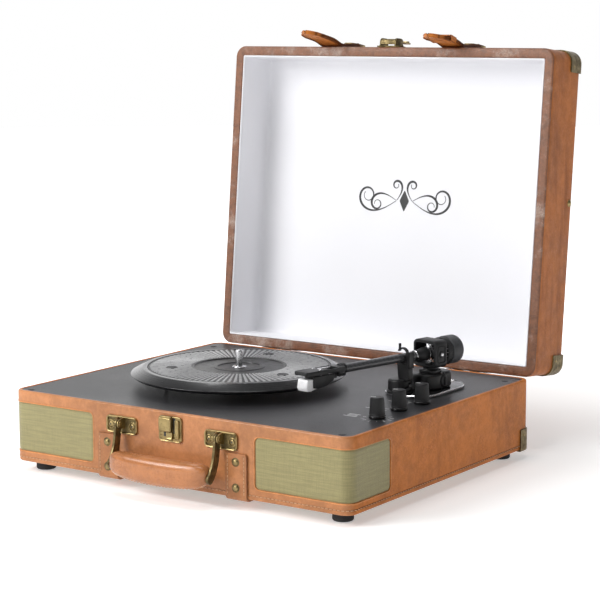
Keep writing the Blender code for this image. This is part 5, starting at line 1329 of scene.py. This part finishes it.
def make_lower_straps():
    """Each strap runs down the front and under the base, with a line of stitches along each edge and two
    rivets."""
    straps, stitches, rivets, rings = Shape(), Shape(), Shape(), Shape()
    foot = BASE_FOOT
    for side in (-1, 1):
        x = side * STRAP_X
        path = soften([(x, FRONT_Y - 0.0003, 0.0522), (x, FRONT_Y - 0.0003, foot - 0.0003),
                       (x, FRONT_Y + 0.035, foot - 0.0003)], 0.0035, 8)
        path = np.concatenate([np.linspace(path[0], path[1], 20)[:-1], path[1:-1],
                               np.linspace(path[-2], path[-1], 12)[1:]])
        taper = np.interp(np.arange(len(path)), [0, 1.0, 2.5], [0.90, 0.985, 1.0])
        band(straps, path, 0.0245, 0.0023, (-1.0, 0.0, 0.0), taper)
        for edge in (-1, 1):
            line = path[1:-3] + (edge * STITCH_LINE, 0, 0)
            middles, forward = spaced(line, looks().stitch * 1.25)
            front = (middles[:, 2] > foot + 0.002)[:, None]
            up = np.where(front, (0.0, -1.0, 0.0), (0.0, 0.0, -1.0))
            keep = (middles[:, 2] > foot + 0.0035) | (middles[:, 1] > FRONT_Y + 0.004)
            stitches.copies(stitch_rows(looks().stitch, 0.00042), (middles + up * 0.0023)[keep],
                            forward[keep], up[keep])
        for z in (0.0442, 0.0200):
            at = moved(FRONT, x, z, 0.0024)
            rivets.grid(dome_rows(0.0031, 0.0020, 0.0002, flat=0.1), at)
            rings.spun([(0.0030, -0.0002), (0.0044, -0.0002), (0.0043, 0.0004), (0.0032, 0.0005)], 0.0002, at,
                       32, ring=True, fine=2)
    rings.build("strap_rivet_rings", dark_brass(), "player", "antique_brass")
    straps.build("lower_straps", strap_leather(), "player", "tan_leather", ["strap_lower_left",
                                                                            "strap_lower_right"])
    stitches.build("lower_strap_stitches", thread(), "player", "tan_leather")
    rivets.build("strap_rivets", brass(), "player", "antique_brass")


# ---- Lid ----
def lid_outline(depth, steps=10):
    """The lid's plan, moved in by depth."""
    middle = (0, LID_BACK - HALF_DEEP)
    return oblong(2 * (HALF_WIDE - depth), 2 * (HALF_DEEP - depth), max(CORNER - depth, 0.0016), steps,
                  middle)


def make_lid():
    """The shell is a closed skin: insets of the lid's plan at rising heights, from the ceiling inside, round
    the rim, up the outside and in over the top."""
    seam, top = LID_SEAM, LID_SEAM + LID_TALL
    wall, soft = 0.0102, 0.0022
    turn = np.linspace(0, pi / 2, 6)
    levels = [(wall, top - 0.0046), (wall, seam + 0.0020)]
    levels += [(wall - 0.0014 * (1 - cos(a)), seam + 0.0014 * (1 - sin(a))) for a in turn]
    levels += [(soft * (1 - sin(a)), seam + soft * (1 - cos(a))) for a in turn]
    levels += [(0.0, z) for z in np.linspace(seam + soft, top - soft, 12)[1:-1]]
    levels += [(soft * (1 - cos(a)), top - soft * (1 - sin(a))) for a in turn]
    levels += [(d, top) for d in (0.004, 0.010, 0.05, 0.10)]
    rows = level_rows((lid_outline(d), z) for d, z in levels)
    skin = Shape().grid(rows, LID)
    thing = skin.build("lid_leather", lid_leather(), "lid", "tan_leather", ["lid_shell"])
    thing.data.materials.append(rim_leather())
    centre = np.array([p.center for p in thing.data.polygons])
    local = (np.array(LID.inverted()) @ np.column_stack([centre, np.ones(len(centre))]).T)[2]
    thing.data.polygons.foreach_set("material_index", (local < seam + 0.0016).astype(np.int32))

    fit, low, ceiling = wall + 0.0003, seam + 0.0004, top - 0.0049
    inner, round_ = 0.0011, 0.0045
    levels = [(fit, ceiling), (fit, low + 0.0003), (fit + 0.0003, low), (fit + inner - 0.0003, low),
              (fit + inner, low + 0.0003)]
    levels += [(fit + inner, z) for z in np.linspace(low + 0.004, ceiling - inner - round_, 5)]
    levels += [(fit + inner + round_ * (1 - cos(a)), ceiling - inner - round_ * (1 - sin(a))) for a in turn]
    levels += [(d, ceiling - inner) for d in (0.03, 0.08, 0.14)]
    rows = level_rows((lid_outline(d), z) for d, z in levels)
    Shape().grid(rows, LID).build("lid_lining_cloth", lining(), "lid", "white_lining", ["lid_lining"], 60)
    make_ornament(ceiling - inner)


ORNAMENT = 1.6  # the diamond, in times the size that it is drawn at
CURLS = ((1.45, 0.110, -0.55), (-1.35, 0.072, 0.50), (-1.20, 0.046, 2.2))  # turns, length and first direction


def curl(turns, length, start, count=110):
    """A line whose direction turns faster and faster along it, so that it ends in a curl."""
    angle = start + turns * 2 * pi * np.linspace(0, 1, count) ** 2.3
    return np.cumsum(np.column_stack([np.cos(angle), np.sin(angle)]) * length / count, 0)


def make_ornament(height):
    """A plain device in the lid: mirrored curls on both sides of a diamond, drawn with a pen whose width
    swells along each line."""
    middle_y = LID_BACK - HALF_DEEP - 0.004
    shape = Shape()
    face = LID @ Matrix.Translation((0, middle_y, height)) @ axes((0, 0, 0), (1, 0, 0), (0, -1, 0))
    section = soften([(-0.0009, -0.0004), (0.0009, -0.0004), (0.0009, 0.00015), (-0.0009, 0.00015)], 0.00012,
                     2, closed=True)
    for side in (-1, 1):
        for turns, length, start in CURLS:
            pen = (curl(turns, length, start) + (0.010, 0)) * (side, 1)
            line = np.column_stack([pen, np.full(len(pen), 0.0001)])
            width = 0.35 + 1.1 * np.sin(pi * np.linspace(0, 1, len(line))) ** 2
            tangent = np.gradient(line, axis=0)
            tangent /= np.linalg.norm(tangent, axis=1)[:, None]
            normal = np.cross((0.0, 0.0, 1.0), tangent)
            shape.grid(line[:, None] + section[None, :, :1] * width[:, None, None] * normal[:, None]
                       + section[None, :, 1:] * np.array([0.0, 0.0, 1.0]), face)
    diamond = soften([(0, -0.0075), (0.0038, 0), (0, 0.0075), (-0.0038, 0)], 0.0010, 3,
                     closed=True) * ORNAMENT
    shape.slab(diamond, -0.0004, 0.00025, 0.0001, face)
    shape.build("lid_ornament", ink_and_shade(), "lid", "black_plastic")


def make_upper_straps():
    """A strap lies on the lid's front from its metal tip to the rim, and bends away past it to a pointed
    end."""
    leather_, metal, holes, stitches = Shape(), Shape(), Shape(), Shape()
    seam = LID_SEAM
    for side in (-1, 1):
        x = side * STRAP_X
        rise = 0.0065 if side < 0 else 0.0035
        points = [(x, 0.0030, seam + 0.0560), (x, 0.0036, seam + 0.040), (x, 0.0022, seam + 0.020),
                  (x, 0.0012, seam + 0.010), (x, 0.0045 + rise * 0.15, seam - 0.006),
                  (x, 0.0042 + rise * 0.55, seam - 0.025), (x, 0.0042 + rise, seam - 0.0445)]
        count = 70
        path = smooth_path([(px, z, out) for px, out, z in points], count)
        t = np.linspace(0, 1, count)
        taper = np.interp(t, [0, 0.02, 0.84, 0.93, 0.98, 1.0], [0.80, 1.0, 1.0, 0.80, 0.42, 0.12])
        band(leather_, path, 0.0250, -0.0022, (1.0, 0.0, 0.0), taper, LID_FRONT)
        top = path + (0, 0, 0.0022)
        for edge in (-1, 1):
            line = top[3:56] + (edge * STITCH_LINE, 0, 0.0)
            middles, forward = spaced(line, looks().stitch * 1.3)
            up = np.cross(np.broadcast_to((1.0, 0, 0), forward.shape), forward)
            up *= np.sign(up[:, 2:])
            to = np.array(LID_FRONT)[:3, :3]
            middles = middles @ to.T + np.array(LID_FRONT)[:3, 3]
            stitches.copies(stitch_rows(looks().stitch, 0.0004), middles, forward @ to.T, up @ to.T)
        # Each hole is a dark dome of painted shade.
        for index in (36, 42, 48):
            holes.grid(dome_rows(0.0016, 0.0004, 0.0, 16, 3), moved(LID_FRONT, x, path[index, 1],
                                                                    path[index, 2] + 0.0021))
        plate = oblong(0.0255, 0.0150, 0.0030, 5, (x, seam + 0.0515))
        metal.slab(plate, 0.0042, 0.0062, 0.0007, LID_FRONT)
        for dx in (-0.0070, 0.0070):
            metal.grid(dome_rows(0.0026, 0.0020), moved(LID_FRONT, x + dx, seam + 0.0500, 0.0060))
        hook = oblong(0.0120, 0.0130, 0.0030, 4, (x, seam + 0.0470))
        metal.slab(hook, 0.0060, 0.0078, 0.0006, LID_FRONT)
        if side > 0:
            keeper_z = seam - 0.014
            loop = oblong(0.0285, 0.0062, 0.0012, 4)
            where = moved(LID_FRONT, x, keeper_z, 0.0076)
            tilt = where @ Matrix.Rotation(radians(-12), 4, "X") @ axes((0, 0, 0), (1, 0, 0), (0, 0, 1))
            window = oblong(0.0262, 0.0040, 0.0008, 4)
            ring = [(loop, -0.0050), (loop, 0.0050), (window, 0.0050), (window, -0.0050)]
            leather_.grid(level_rows(ring), tilt, along=True)
    leather_.build("upper_straps", strap_leather(), "lid", "tan_leather", ["strap_upper_left",
                                                                           "strap_upper_right"])
    metal.build("strap_buckles", brass(), "lid", "antique_brass")
    holes.build("strap_holes", ink_and_shade(), "lid", "tan_leather")
    stitches.build("upper_strap_stitches", thread(), "lid", "tan_leather")


def make_clasp():
    """The clasp's block stands on a small plate near the rim, with a rivet on each side, and the tongue lies
    back along the lid from its pin."""
    shape = Shape()
    seam = LID_SEAM
    shape.slab(oblong(0.030, 0.0158, 0.0040, 6, (0, seam + 0.0092)), 0.0003, 0.0016, 0.0005, LID_FRONT)
    for x in (-0.0128, 0.0128):
        shape.grid(dome_rows(0.0024, 0.0024), moved(LID_FRONT, x, seam + 0.0092, 0.0012))
    across = LID_FRONT @ axes((0, 0, 0), (0, 0, 1), (0, 1, 0))
    for x in (-0.0092, 0.0092):
        shape.plate([(0.0010, seam + 0.0018), (0.0010, seam + 0.0166), (0.0085, seam + 0.0166),
                     (0.0100, seam + 0.0130), (0.0098, seam + 0.0040), (0.0070, seam + 0.0018)][::-1], 0.0012,
                    -0.0010, 0.0010, 0.0004, moved(across, 0, 0, -x))
    shape.plate([(0.0070, seam + 0.0020), (0.0088, seam + 0.0028), (0.0088, seam + 0.0040),
                 (0.0076, seam + 0.0042), (0.0068, seam + 0.0034), (0.0030, seam + 0.0032),
                 (0.0030, seam + 0.0018)][::-1], 0.0004, -0.0086, 0.0086, 0.0003, across)
    shape.build("clasp_block", dark_brass(), "lid", "antique_brass", ["lid_latch"])
    hinge = Vector(JOINTS["hasp_hinge"]["pos_m"])
    tongue = Shape()
    local = LID_FRONT.inverted() @ hinge
    at = moved(LID_FRONT, 0, local.y, local.z)
    tongue.plate([(-0.0078, -0.0012), (0.0078, -0.0012), (0.0070, 0.0160), (0.0060, 0.0270),
                  (-0.0060, 0.0270), (-0.0070, 0.0160)], 0.0020, -0.0008, 0.0009, 0.0004, at, fine=4)
    tongue.spun([(0.0003, -0.0088), (0.0018, -0.0088), (0.0020, -0.0080), (0.0020, 0.0080), (0.0018, 0.0088),
                 (0.0003, 0.0088)], 0.0003, at @ axes((0, 0, 0), (0, 1, 0), (0, 0, 1)), 24, fine=2)
    tongue.spun([(0.0034, 0.0006), (0.0034, 0.0028), (0.0022, 0.0042), (0.0003, 0.0044)], 0.0008,
                moved(at, 0, 0.0135), 28, fine=4)
    tongue.slab(oblong(0.0090, 0.0030, 0.0010, 3, (0, 0.0248)), 0.0006, 0.0026, 0.0005, at)
    tongue.build("clasp_tongue", brass(), "hasp", "antique_brass", ["hasp"])


def make_guards():
    """A guard is a cap over one corner. Its plan runs along two walls with the case's own round corner
    between them, and it folds over the end of the box."""
    shapes = {"player": Shape(), "lid": Shape()}
    rivets = {"player": Shape(), "lid": Shape()}
    long_, thick, out = 0.0215, 0.0011, 0.0003
    places = [("player", Matrix.Identity(4), side, BACK_Y, 1, BASE_FOOT, -1) for side in (-1, 1)]
    top = LID_SEAM + LID_TALL
    places += [("lid", LID, side, y, face, top, 1) for side in (-1, 1) for y, face in ((LID_BACK, 1),
                                                                                       (LID_FRONT_Y, -1))]
    angle = np.linspace(0, pi / 2, 12)
    for body, at, side, y, face, z, fold in places:
        def plan(grow, reach):
            arc = np.stack([HALF_WIDE - CORNER + (CORNER + grow) * np.cos(angle),
                            -CORNER + (CORNER + grow) * np.sin(angle)], 1)
            ends = np.array([(HALF_WIDE + grow, -reach)]), np.array([(HALF_WIDE - reach, grow)])
            near = np.array([(HALF_WIDE + grow, -reach * 0.7)]), np.array([(HALF_WIDE - reach * 0.7, grow)])
            points = np.concatenate([ends[0], near[0], arc, near[1], ends[1]])
            return points * (side, face) + (0, y)

        def level(grow, reach, depth):
            flat = plan(grow, reach)
            return np.column_stack([flat, np.full(len(flat), z - fold * depth)])

        edge = 0.0012
        outer = [level(out + thick * 0.3, long_ - 0.0004, long_), level(out + thick, long_, long_ - 0.0006)]
        outer += [level(out + thick, long_, d) for d in (0.014, 0.008, 0.003, edge - out)]
        outer += [level(out + thick - edge * (1 - cos(a)), long_, -out - thick + edge * (1 - sin(a)))
                  for a in (0.5, 1.0, pi / 2)]
        outer += [level(-0.0035, long_, -out - thick)]
        innermost = [level(-0.0035, long_, -out), level(0.0, long_, -out), level(out, long_, 0.0),
                     level(out, long_ - 0.0004, long_)]
        rows = np.stack(outer + innermost)
        shape = shapes[body]
        shape.grid(np.swapaxes(rows, 0, 1), at)
        cap = np.array([(HALF_WIDE - long_, 0.0), (HALF_WIDE - CORNER * 0.5, 0.0), (HALF_WIDE, -CORNER * 0.5),
                        (HALF_WIDE, -long_), (HALF_WIDE - long_ * 0.42, -long_ * 0.60),
                        (HALF_WIDE - long_ * 0.60, -long_ * 0.42)])
        cap = soften(cap[::-1], 0.0035, 4, closed=True) * (side, face) + (0, y)
        area = (cap[:, 0] * np.roll(cap[:, 1], -1) - np.roll(cap[:, 0], -1) * cap[:, 1]).sum()
        cap = cap if area > 0 else cap[::-1]
        low, high = sorted((z + fold * out, z + fold * (out + thick)))
        shape.slab(cap, low, high, 0.0004, at)
        rivet_in = 0.0155
        for across in (0.0, 1.0):
            spot = (side * (HALF_WIDE - rivet_in * across) if across
                    else side * (HALF_WIDE + out + thick * 0.6), y + face * (out + thick * 0.6) if across
                    else y - face * rivet_in, z - fold * rivet_in)
            normal = Vector((0, face, 0)) if across else Vector((side, 0, 0))
            up = Vector((0, 0, 1))
            where = at @ axes(spot, up.cross(normal), up)
            rivets[body].grid(dome_rows(0.0016, 0.0010), where)
    nodes = {"player": ["corner_base_left", "corner_base_right"], "lid": ["corner_lid_front_left",
                                                                          "corner_lid_front_right",
                                                                          "corner_lid_rear_left",
                                                                          "corner_lid_rear_right"]}
    for body, shape in shapes.items():
        shape.build(f"{body}_corner_guards", dark_brass(), body, "antique_brass", nodes[body])
        rivets[body].build(f"{body}_guard_rivets", brass(), body, "antique_brass")
    studs = Shape()
    for side in (-1, 1):
        where = LID @ axes((side * HALF_WIDE, LID_BACK - 0.180, LID_SEAM + 0.0545), (0, side, 0), (0, 0, 1))
        studs.grid(dome_rows(0.0030, 0.0016, 0.0002), where)
        studs.spun([(0.0028, 0), (0.0040, 0), (0.0038, 0.0007), (0.0030, 0.0008)], 0.0002, where, 32,
                   ring=True, fine=2)
    studs.build("lid_studs", brass(), "lid", "antique_brass")


# ---- Underneath and behind ----
def paint(node, material):
    """Gives a carried-over node its material."""
    mesh = frame["nodes"][node].data
    mesh.materials.clear()
    mesh.materials.append(material)


def make_feet():
    feet = Shape()
    for name in ("front_left", "front_right", "rear_left", "rear_right"):
        low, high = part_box(f"foot_{name}")
        at = axes(((low.x + high.x) / 2, (low.y + high.y) / 2, 0), (1, 0, 0), (0, 1, 0))
        profile = soften([(0.0060, 0.0016), (0.0064, 0), (0.0090, 0), (0.0099, 0.0012), (0.0100, 0.0030),
                          (0.0090, high.z), (0.0003, high.z)], 0.0006, 3)
        profile = np.concatenate([[(0.0003, 0.0016)], profile])
        feet.turned(profile, at, 48)
    names = [f"foot_{n}" for n in ("front_left", "front_right", "rear_left", "rear_right")]
    feet.build("feet", rubber(), "player", "rubber", names)


def make_rear():
    for node in ("hinge_base_left", "hinge_base_right", "hinge_lid_left", "hinge_lid_right", "speaker_left",
                 "speaker_right", "motor"):
        paint(node, steel())
    for node in ("motor_pulley", "drive_belt"):
        paint(node, rubber())
    paint("base_bottom", chip_board())
    paint("control_board", circuit_board())
    low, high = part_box("rear_panel")
    plate = oblong(high.x - low.x, high.z - low.z, 0.0022, 5, (0, (low.z + high.z) / 2))
    Shape().slab(plate, -0.0040, 0.0006, 0.0004, REAR).build("rear_plate", black_plastic(), "player",
                                                             "black_plastic", ["rear_panel"])
    rings, wells = Shape(), Shape()
    for x in (0.004, 0.020):
        at = axes((x, BACK_Y, 0.042), (-1, 0, 0), (0, 0, 1))
        rings.spun([(0.0042, -0.003), (0.0042, 0.0013), (0.0052, 0.0013), (0.0054, -0.0002)], 0.0003, at, 40,
                   ring=True, fine=2)
        wells.turned([(0.0043, 0.0004), (0.0043, 0.0008), (0.0001, 0.0008)], at, 32)
    # Each well is a dark disc of painted shade.
    wells.build("socket_wells", ink_and_shade(), "player", "black_plastic")
    rings.build("socket_rings", steel(), "player", "steel")
    screws, slots = Shape(), Shape()
    for x in (-0.0305, 0.0305):
        screw_head(screws, slots, axes((x, BACK_Y + 0.0004, 0.042), (-1, 0, 0), (0, 0, 1)), 0.0020)
    for side in (-1, 1):
        for dx in (-0.016, 0.0, 0.016):
            screw_head(screws, slots, axes((side * 0.120 + dx, BACK_Y + 0.0013, BASE_TOP - 0.0145),
                                           (-1, 0, 0), (0, 0, 1)), 0.0018)
    screws.build("rear_screws", steel(), "player", "steel")
    # The screws' slots are dark sheets of painted shade.
    slots.build("rear_screw_slots", ink_and_shade(), "player", "steel")


# ---- Stage ----
CAMERA_PLACE = (1.0864380, -1.5257214, 0.4456782)  # from the middle of the base's footprint
CAMERA_YAW, CAMERA_PITCH, CAMERA_ROLL = 0.6052742, 0.1479962, -0.0033847
SENSOR = 36  # mm
CAMERA_LENS = 1893.8686 * SENSOR / 600  # mm, for a 600 wide picture


def make_stage():
    """A pale floor, a room that is brighter from one side, the camera and six area lamps."""
    scene = bpy.context.scene
    scene.view_settings.view_transform = "Standard"
    look = looks()
    world = bpy.data.worlds.new("studio")
    world.use_nodes = True
    room = Nodes(world.node_tree)
    way = room.node("TexCoord", output="Generated")
    behind = room.node("VectorMath", {"operation": "DOT_PRODUCT"}, {0: way, 1: (-0.60, 0.80, 0.0)},
                       "Value").ramp(0.0, 1.0)
    height = room.node("SeparateXYZ", {}, {0: way}, 2).ramp(0.1, 0.8)
    light = (behind * (1 - height) * 6.2 + 0.55) * look.fill_light
    seen = room.node("LightPath", output="Is Camera Ray")
    background = world.node_tree.nodes["Background"]
    background.inputs["Color"].default_value = (1.0, 1.0, 1.0, 1)
    room.put(background.inputs["Strength"], seen + (1 - seen) * light)
    scene.world = world

    floor = Shape().grid(turned_rows([(6.0, -0.004), (6.0, -0.0005), (0.02, -0.0005)], 64))
    mesh = bpy.data.meshes.new("floor")
    mesh.from_pydata(np.concatenate(floor.points), [], floor.faces)
    # The floor glows: painted light, dim near the player and white further away, which lifts the shadows on
    # the floor.
    f = Finish("pale floor", 0.8, Specular_IOR_Level=0.1, Emission_Strength=1.0)
    away = f.node("VectorMath", {"operation": "LENGTH"}, {0: f.place}, "Value").ramp(0.25, 0.95)
    f.set(Base_Color=f.blend(f.noise(3.0), (0.84, 0.84, 0.84), (0.87, 0.87, 0.87)),
          Emission_Color=f.blend(away, (0.36, 0.36, 0.36), (1.0, 1.0, 1.0)))
    mesh.materials.append(f.material)
    thing = bpy.data.objects.new("floor", mesh)
    scene.collection.objects.link(thing)

    a, e, r = CAMERA_YAW, CAMERA_PITCH, CAMERA_ROLL
    forward = -Vector((sin(a) * cos(e), -cos(a) * cos(e), sin(e)))
    right = Vector((cos(a), sin(a), 0))
    up = right.cross(forward)
    right, up = right * cos(r) + up * sin(r), up * cos(r) - right * sin(r)
    camera = bpy.data.objects.new("camera", bpy.data.cameras.new("camera"))
    place = Vector(CAMERA_PLACE) + Vector((0, CASE_Y, 0))
    camera.matrix_world = Matrix([[right[i], up[i], -forward[i], place[i]] for i in range(3)] + [[0, 0, 0,
                                                                                                  1]])
    camera.data.lens = CAMERA_LENS
    camera.data.sensor_width = SENSOR
    scene.collection.objects.link(camera)
    scene.camera = camera

    for name, where, size, power, aim in (
        ("key", (-1.1, -1.7, 1.5), (1.4, 1.2), look.key_light, (0, 0, 0.12)),
        ("front_fill", (-0.2, -2.4, 0.7), (1.6, 0.8), look.key_light * 0.25, (0, 0, 0.05)),
        ("top", (0.1, -0.3, 2.2), (1.1, 0.7), look.key_light * 0.40, (0, -0.1, 0.0)),
        ("glint", (-1.0, -1.7, 0.95), (0.35, 0.25), look.key_light * 0.13, (-0.02, -0.2, 0.05)),
        ("strip", (-1.0, 0.75, 1.6), (0.22, 0.8), look.key_light * 0.10, (-0.02, -0.17, 0.1)),
        ("side_fill", (1.9, 0.1, 0.7), (1.2, 0.8), look.key_light * 0.05, (0, 0, 0.1)),
    ):
        lamp = bpy.data.lights.new(name, "AREA")
        lamp.shape, lamp.size, lamp.size_y, lamp.energy = "RECTANGLE", *size, power
        light = bpy.data.objects.new(name, lamp)
        light.location = where
        light.rotation_euler = (Vector(where) - Vector(aim)).to_track_quat("Z", "Y").to_euler()
        scene.collection.objects.link(light)


# ---- Add-on ----
def colour_property(name, description, default):
    return FloatVectorProperty(name=name, description=description, subtype="COLOR", size=3, min=0, max=1,
                               default=default)


class PlayerLooks(bpy.types.PropertyGroup):
    """Sizes and colours that change the player's surfaces."""

    leather: colour_property("Leather", "Colour of the case's leather", (0.50, 0.165, 0.036))
    lid_leather: colour_property("Lid leather", "Colour of the lid's leather", (0.38, 0.122, 0.028))
    rim_leather: colour_property("Rim leather", "Colour of the lid's rim", (0.21, 0.080, 0.034))
    brass: colour_property("Bronze", "Colour of the locks, plates and guards", (0.36, 0.27, 0.12))
    grille: colour_property("Grille", "Colour of the speaker cloth", (0.33, 0.29, 0.125))
    deck: colour_property("Deck", "Colour of the deck's vinyl", (0.014, 0.014, 0.016))
    black: colour_property("Plastic", "Colour of the black plastic pieces", (0.006, 0.006, 0.0065))
    stitch: FloatProperty(name="Stitch", description="Length of one stitch", unit="LENGTH", default=0.0029,
                          min=0.001)
    weave: FloatProperty(name="Weave", description="Width of one thread pair of the cloth", unit="LENGTH",
                         default=0.0019, min=0.0005)
    ribs: IntProperty(name="Ribs", description="Number of ribs round the mat", default=96, min=12)
    key_light: FloatProperty(name="Key light", description="Power of the main light", unit="POWER",
                             default=40.0, min=0)
    fill_light: FloatProperty(name="Fill light", description="Strength of the room's light", default=0.20,
                              min=0)


def operator(name, label, text, *steps):
    """One operator class that runs the given makers."""
    def execute(self, context):
        for make in steps:
            make()
        return {"FINISHED"}

    return type(f"PLAYER_OT_{name}", (bpy.types.Operator,), {
        "bl_idname": f"player.{name}", "bl_label": label, "bl_options": {"REGISTER", "UNDO"}, "__doc__": text,
        "execute": execute})


OPERATORS = (
    operator("stage", "Stage", "Add the floor, the lights and the camera", make_stage),
    operator("case", "Case", "Cover the case in leather", make_case),
    operator("grilles", "Grilles", "Stretch the cloth over both speakers", make_grilles, make_piping),
    operator("deck", "Deck", "Finish the deck, its screws and its print", make_deck),
    operator("platter", "Platter", "Make the platter, its mat and the spindle", make_platter),
    operator("arm_base", "Arm base", "Make the tonearm's plate, housing, rest and lift",
             make_arm_base, make_rest),
    operator("arm", "Tonearm", "Make the gimbal, the tube and the balance weight", make_gimbal, make_arm),
    operator("head", "Head", "Make the headshell, the cartridge and the stylus guard", make_head),
    operator("knobs", "Knobs", "Make the three knobs", make_knobs),
    operator("handle", "Handle", "Make the handle and its brackets", make_handle),
    operator("latch", "Latch", "Make the latch on the base", make_latch),
    operator("straps", "Straps", "Make the straps on the base and the lid",
             make_lower_straps, make_upper_straps),
    operator("lid", "Lid", "Make the lid's leather, lining and ornament", make_lid),
    operator("clasp", "Clasp", "Make the clasp on the lid", make_clasp),
    operator("guards", "Corner guards", "Make the corner guards and the side studs", make_guards),
    operator("underside", "Underside", "Make the feet and finish the rear and the inside",
             make_feet, make_rear),
)


class PLAYER_PT_panel(bpy.types.Panel):
    """Lists the player's sizes, colours and pieces."""

    bl_label = "Record player"
    bl_idname = "PLAYER_PT_panel"
    bl_space_type = "VIEW_3D"
    bl_region_type = "UI"
    bl_category = "Player"

    def draw(self, context):
        column = self.layout.column()
        for name in PlayerLooks.__annotations__:
            column.prop(context.scene.player_looks, name)
        for kind in OPERATORS:
            column.operator(kind.bl_idname)


CLASSES = (PlayerLooks, *OPERATORS, PLAYER_PT_panel)


def register():
    for kind in CLASSES:
        bpy.utils.register_class(kind)
    bpy.types.Scene.player_looks = PointerProperty(type=PlayerLooks)


def unregister():
    del bpy.types.Scene.player_looks
    for kind in reversed(CLASSES):
        bpy.utils.unregister_class(kind)


def main():
    register()
    for kind in OPERATORS:
        getattr(bpy.ops.player, kind.bl_idname.split(".")[1])()


if __name__ == "__main__":
    main()
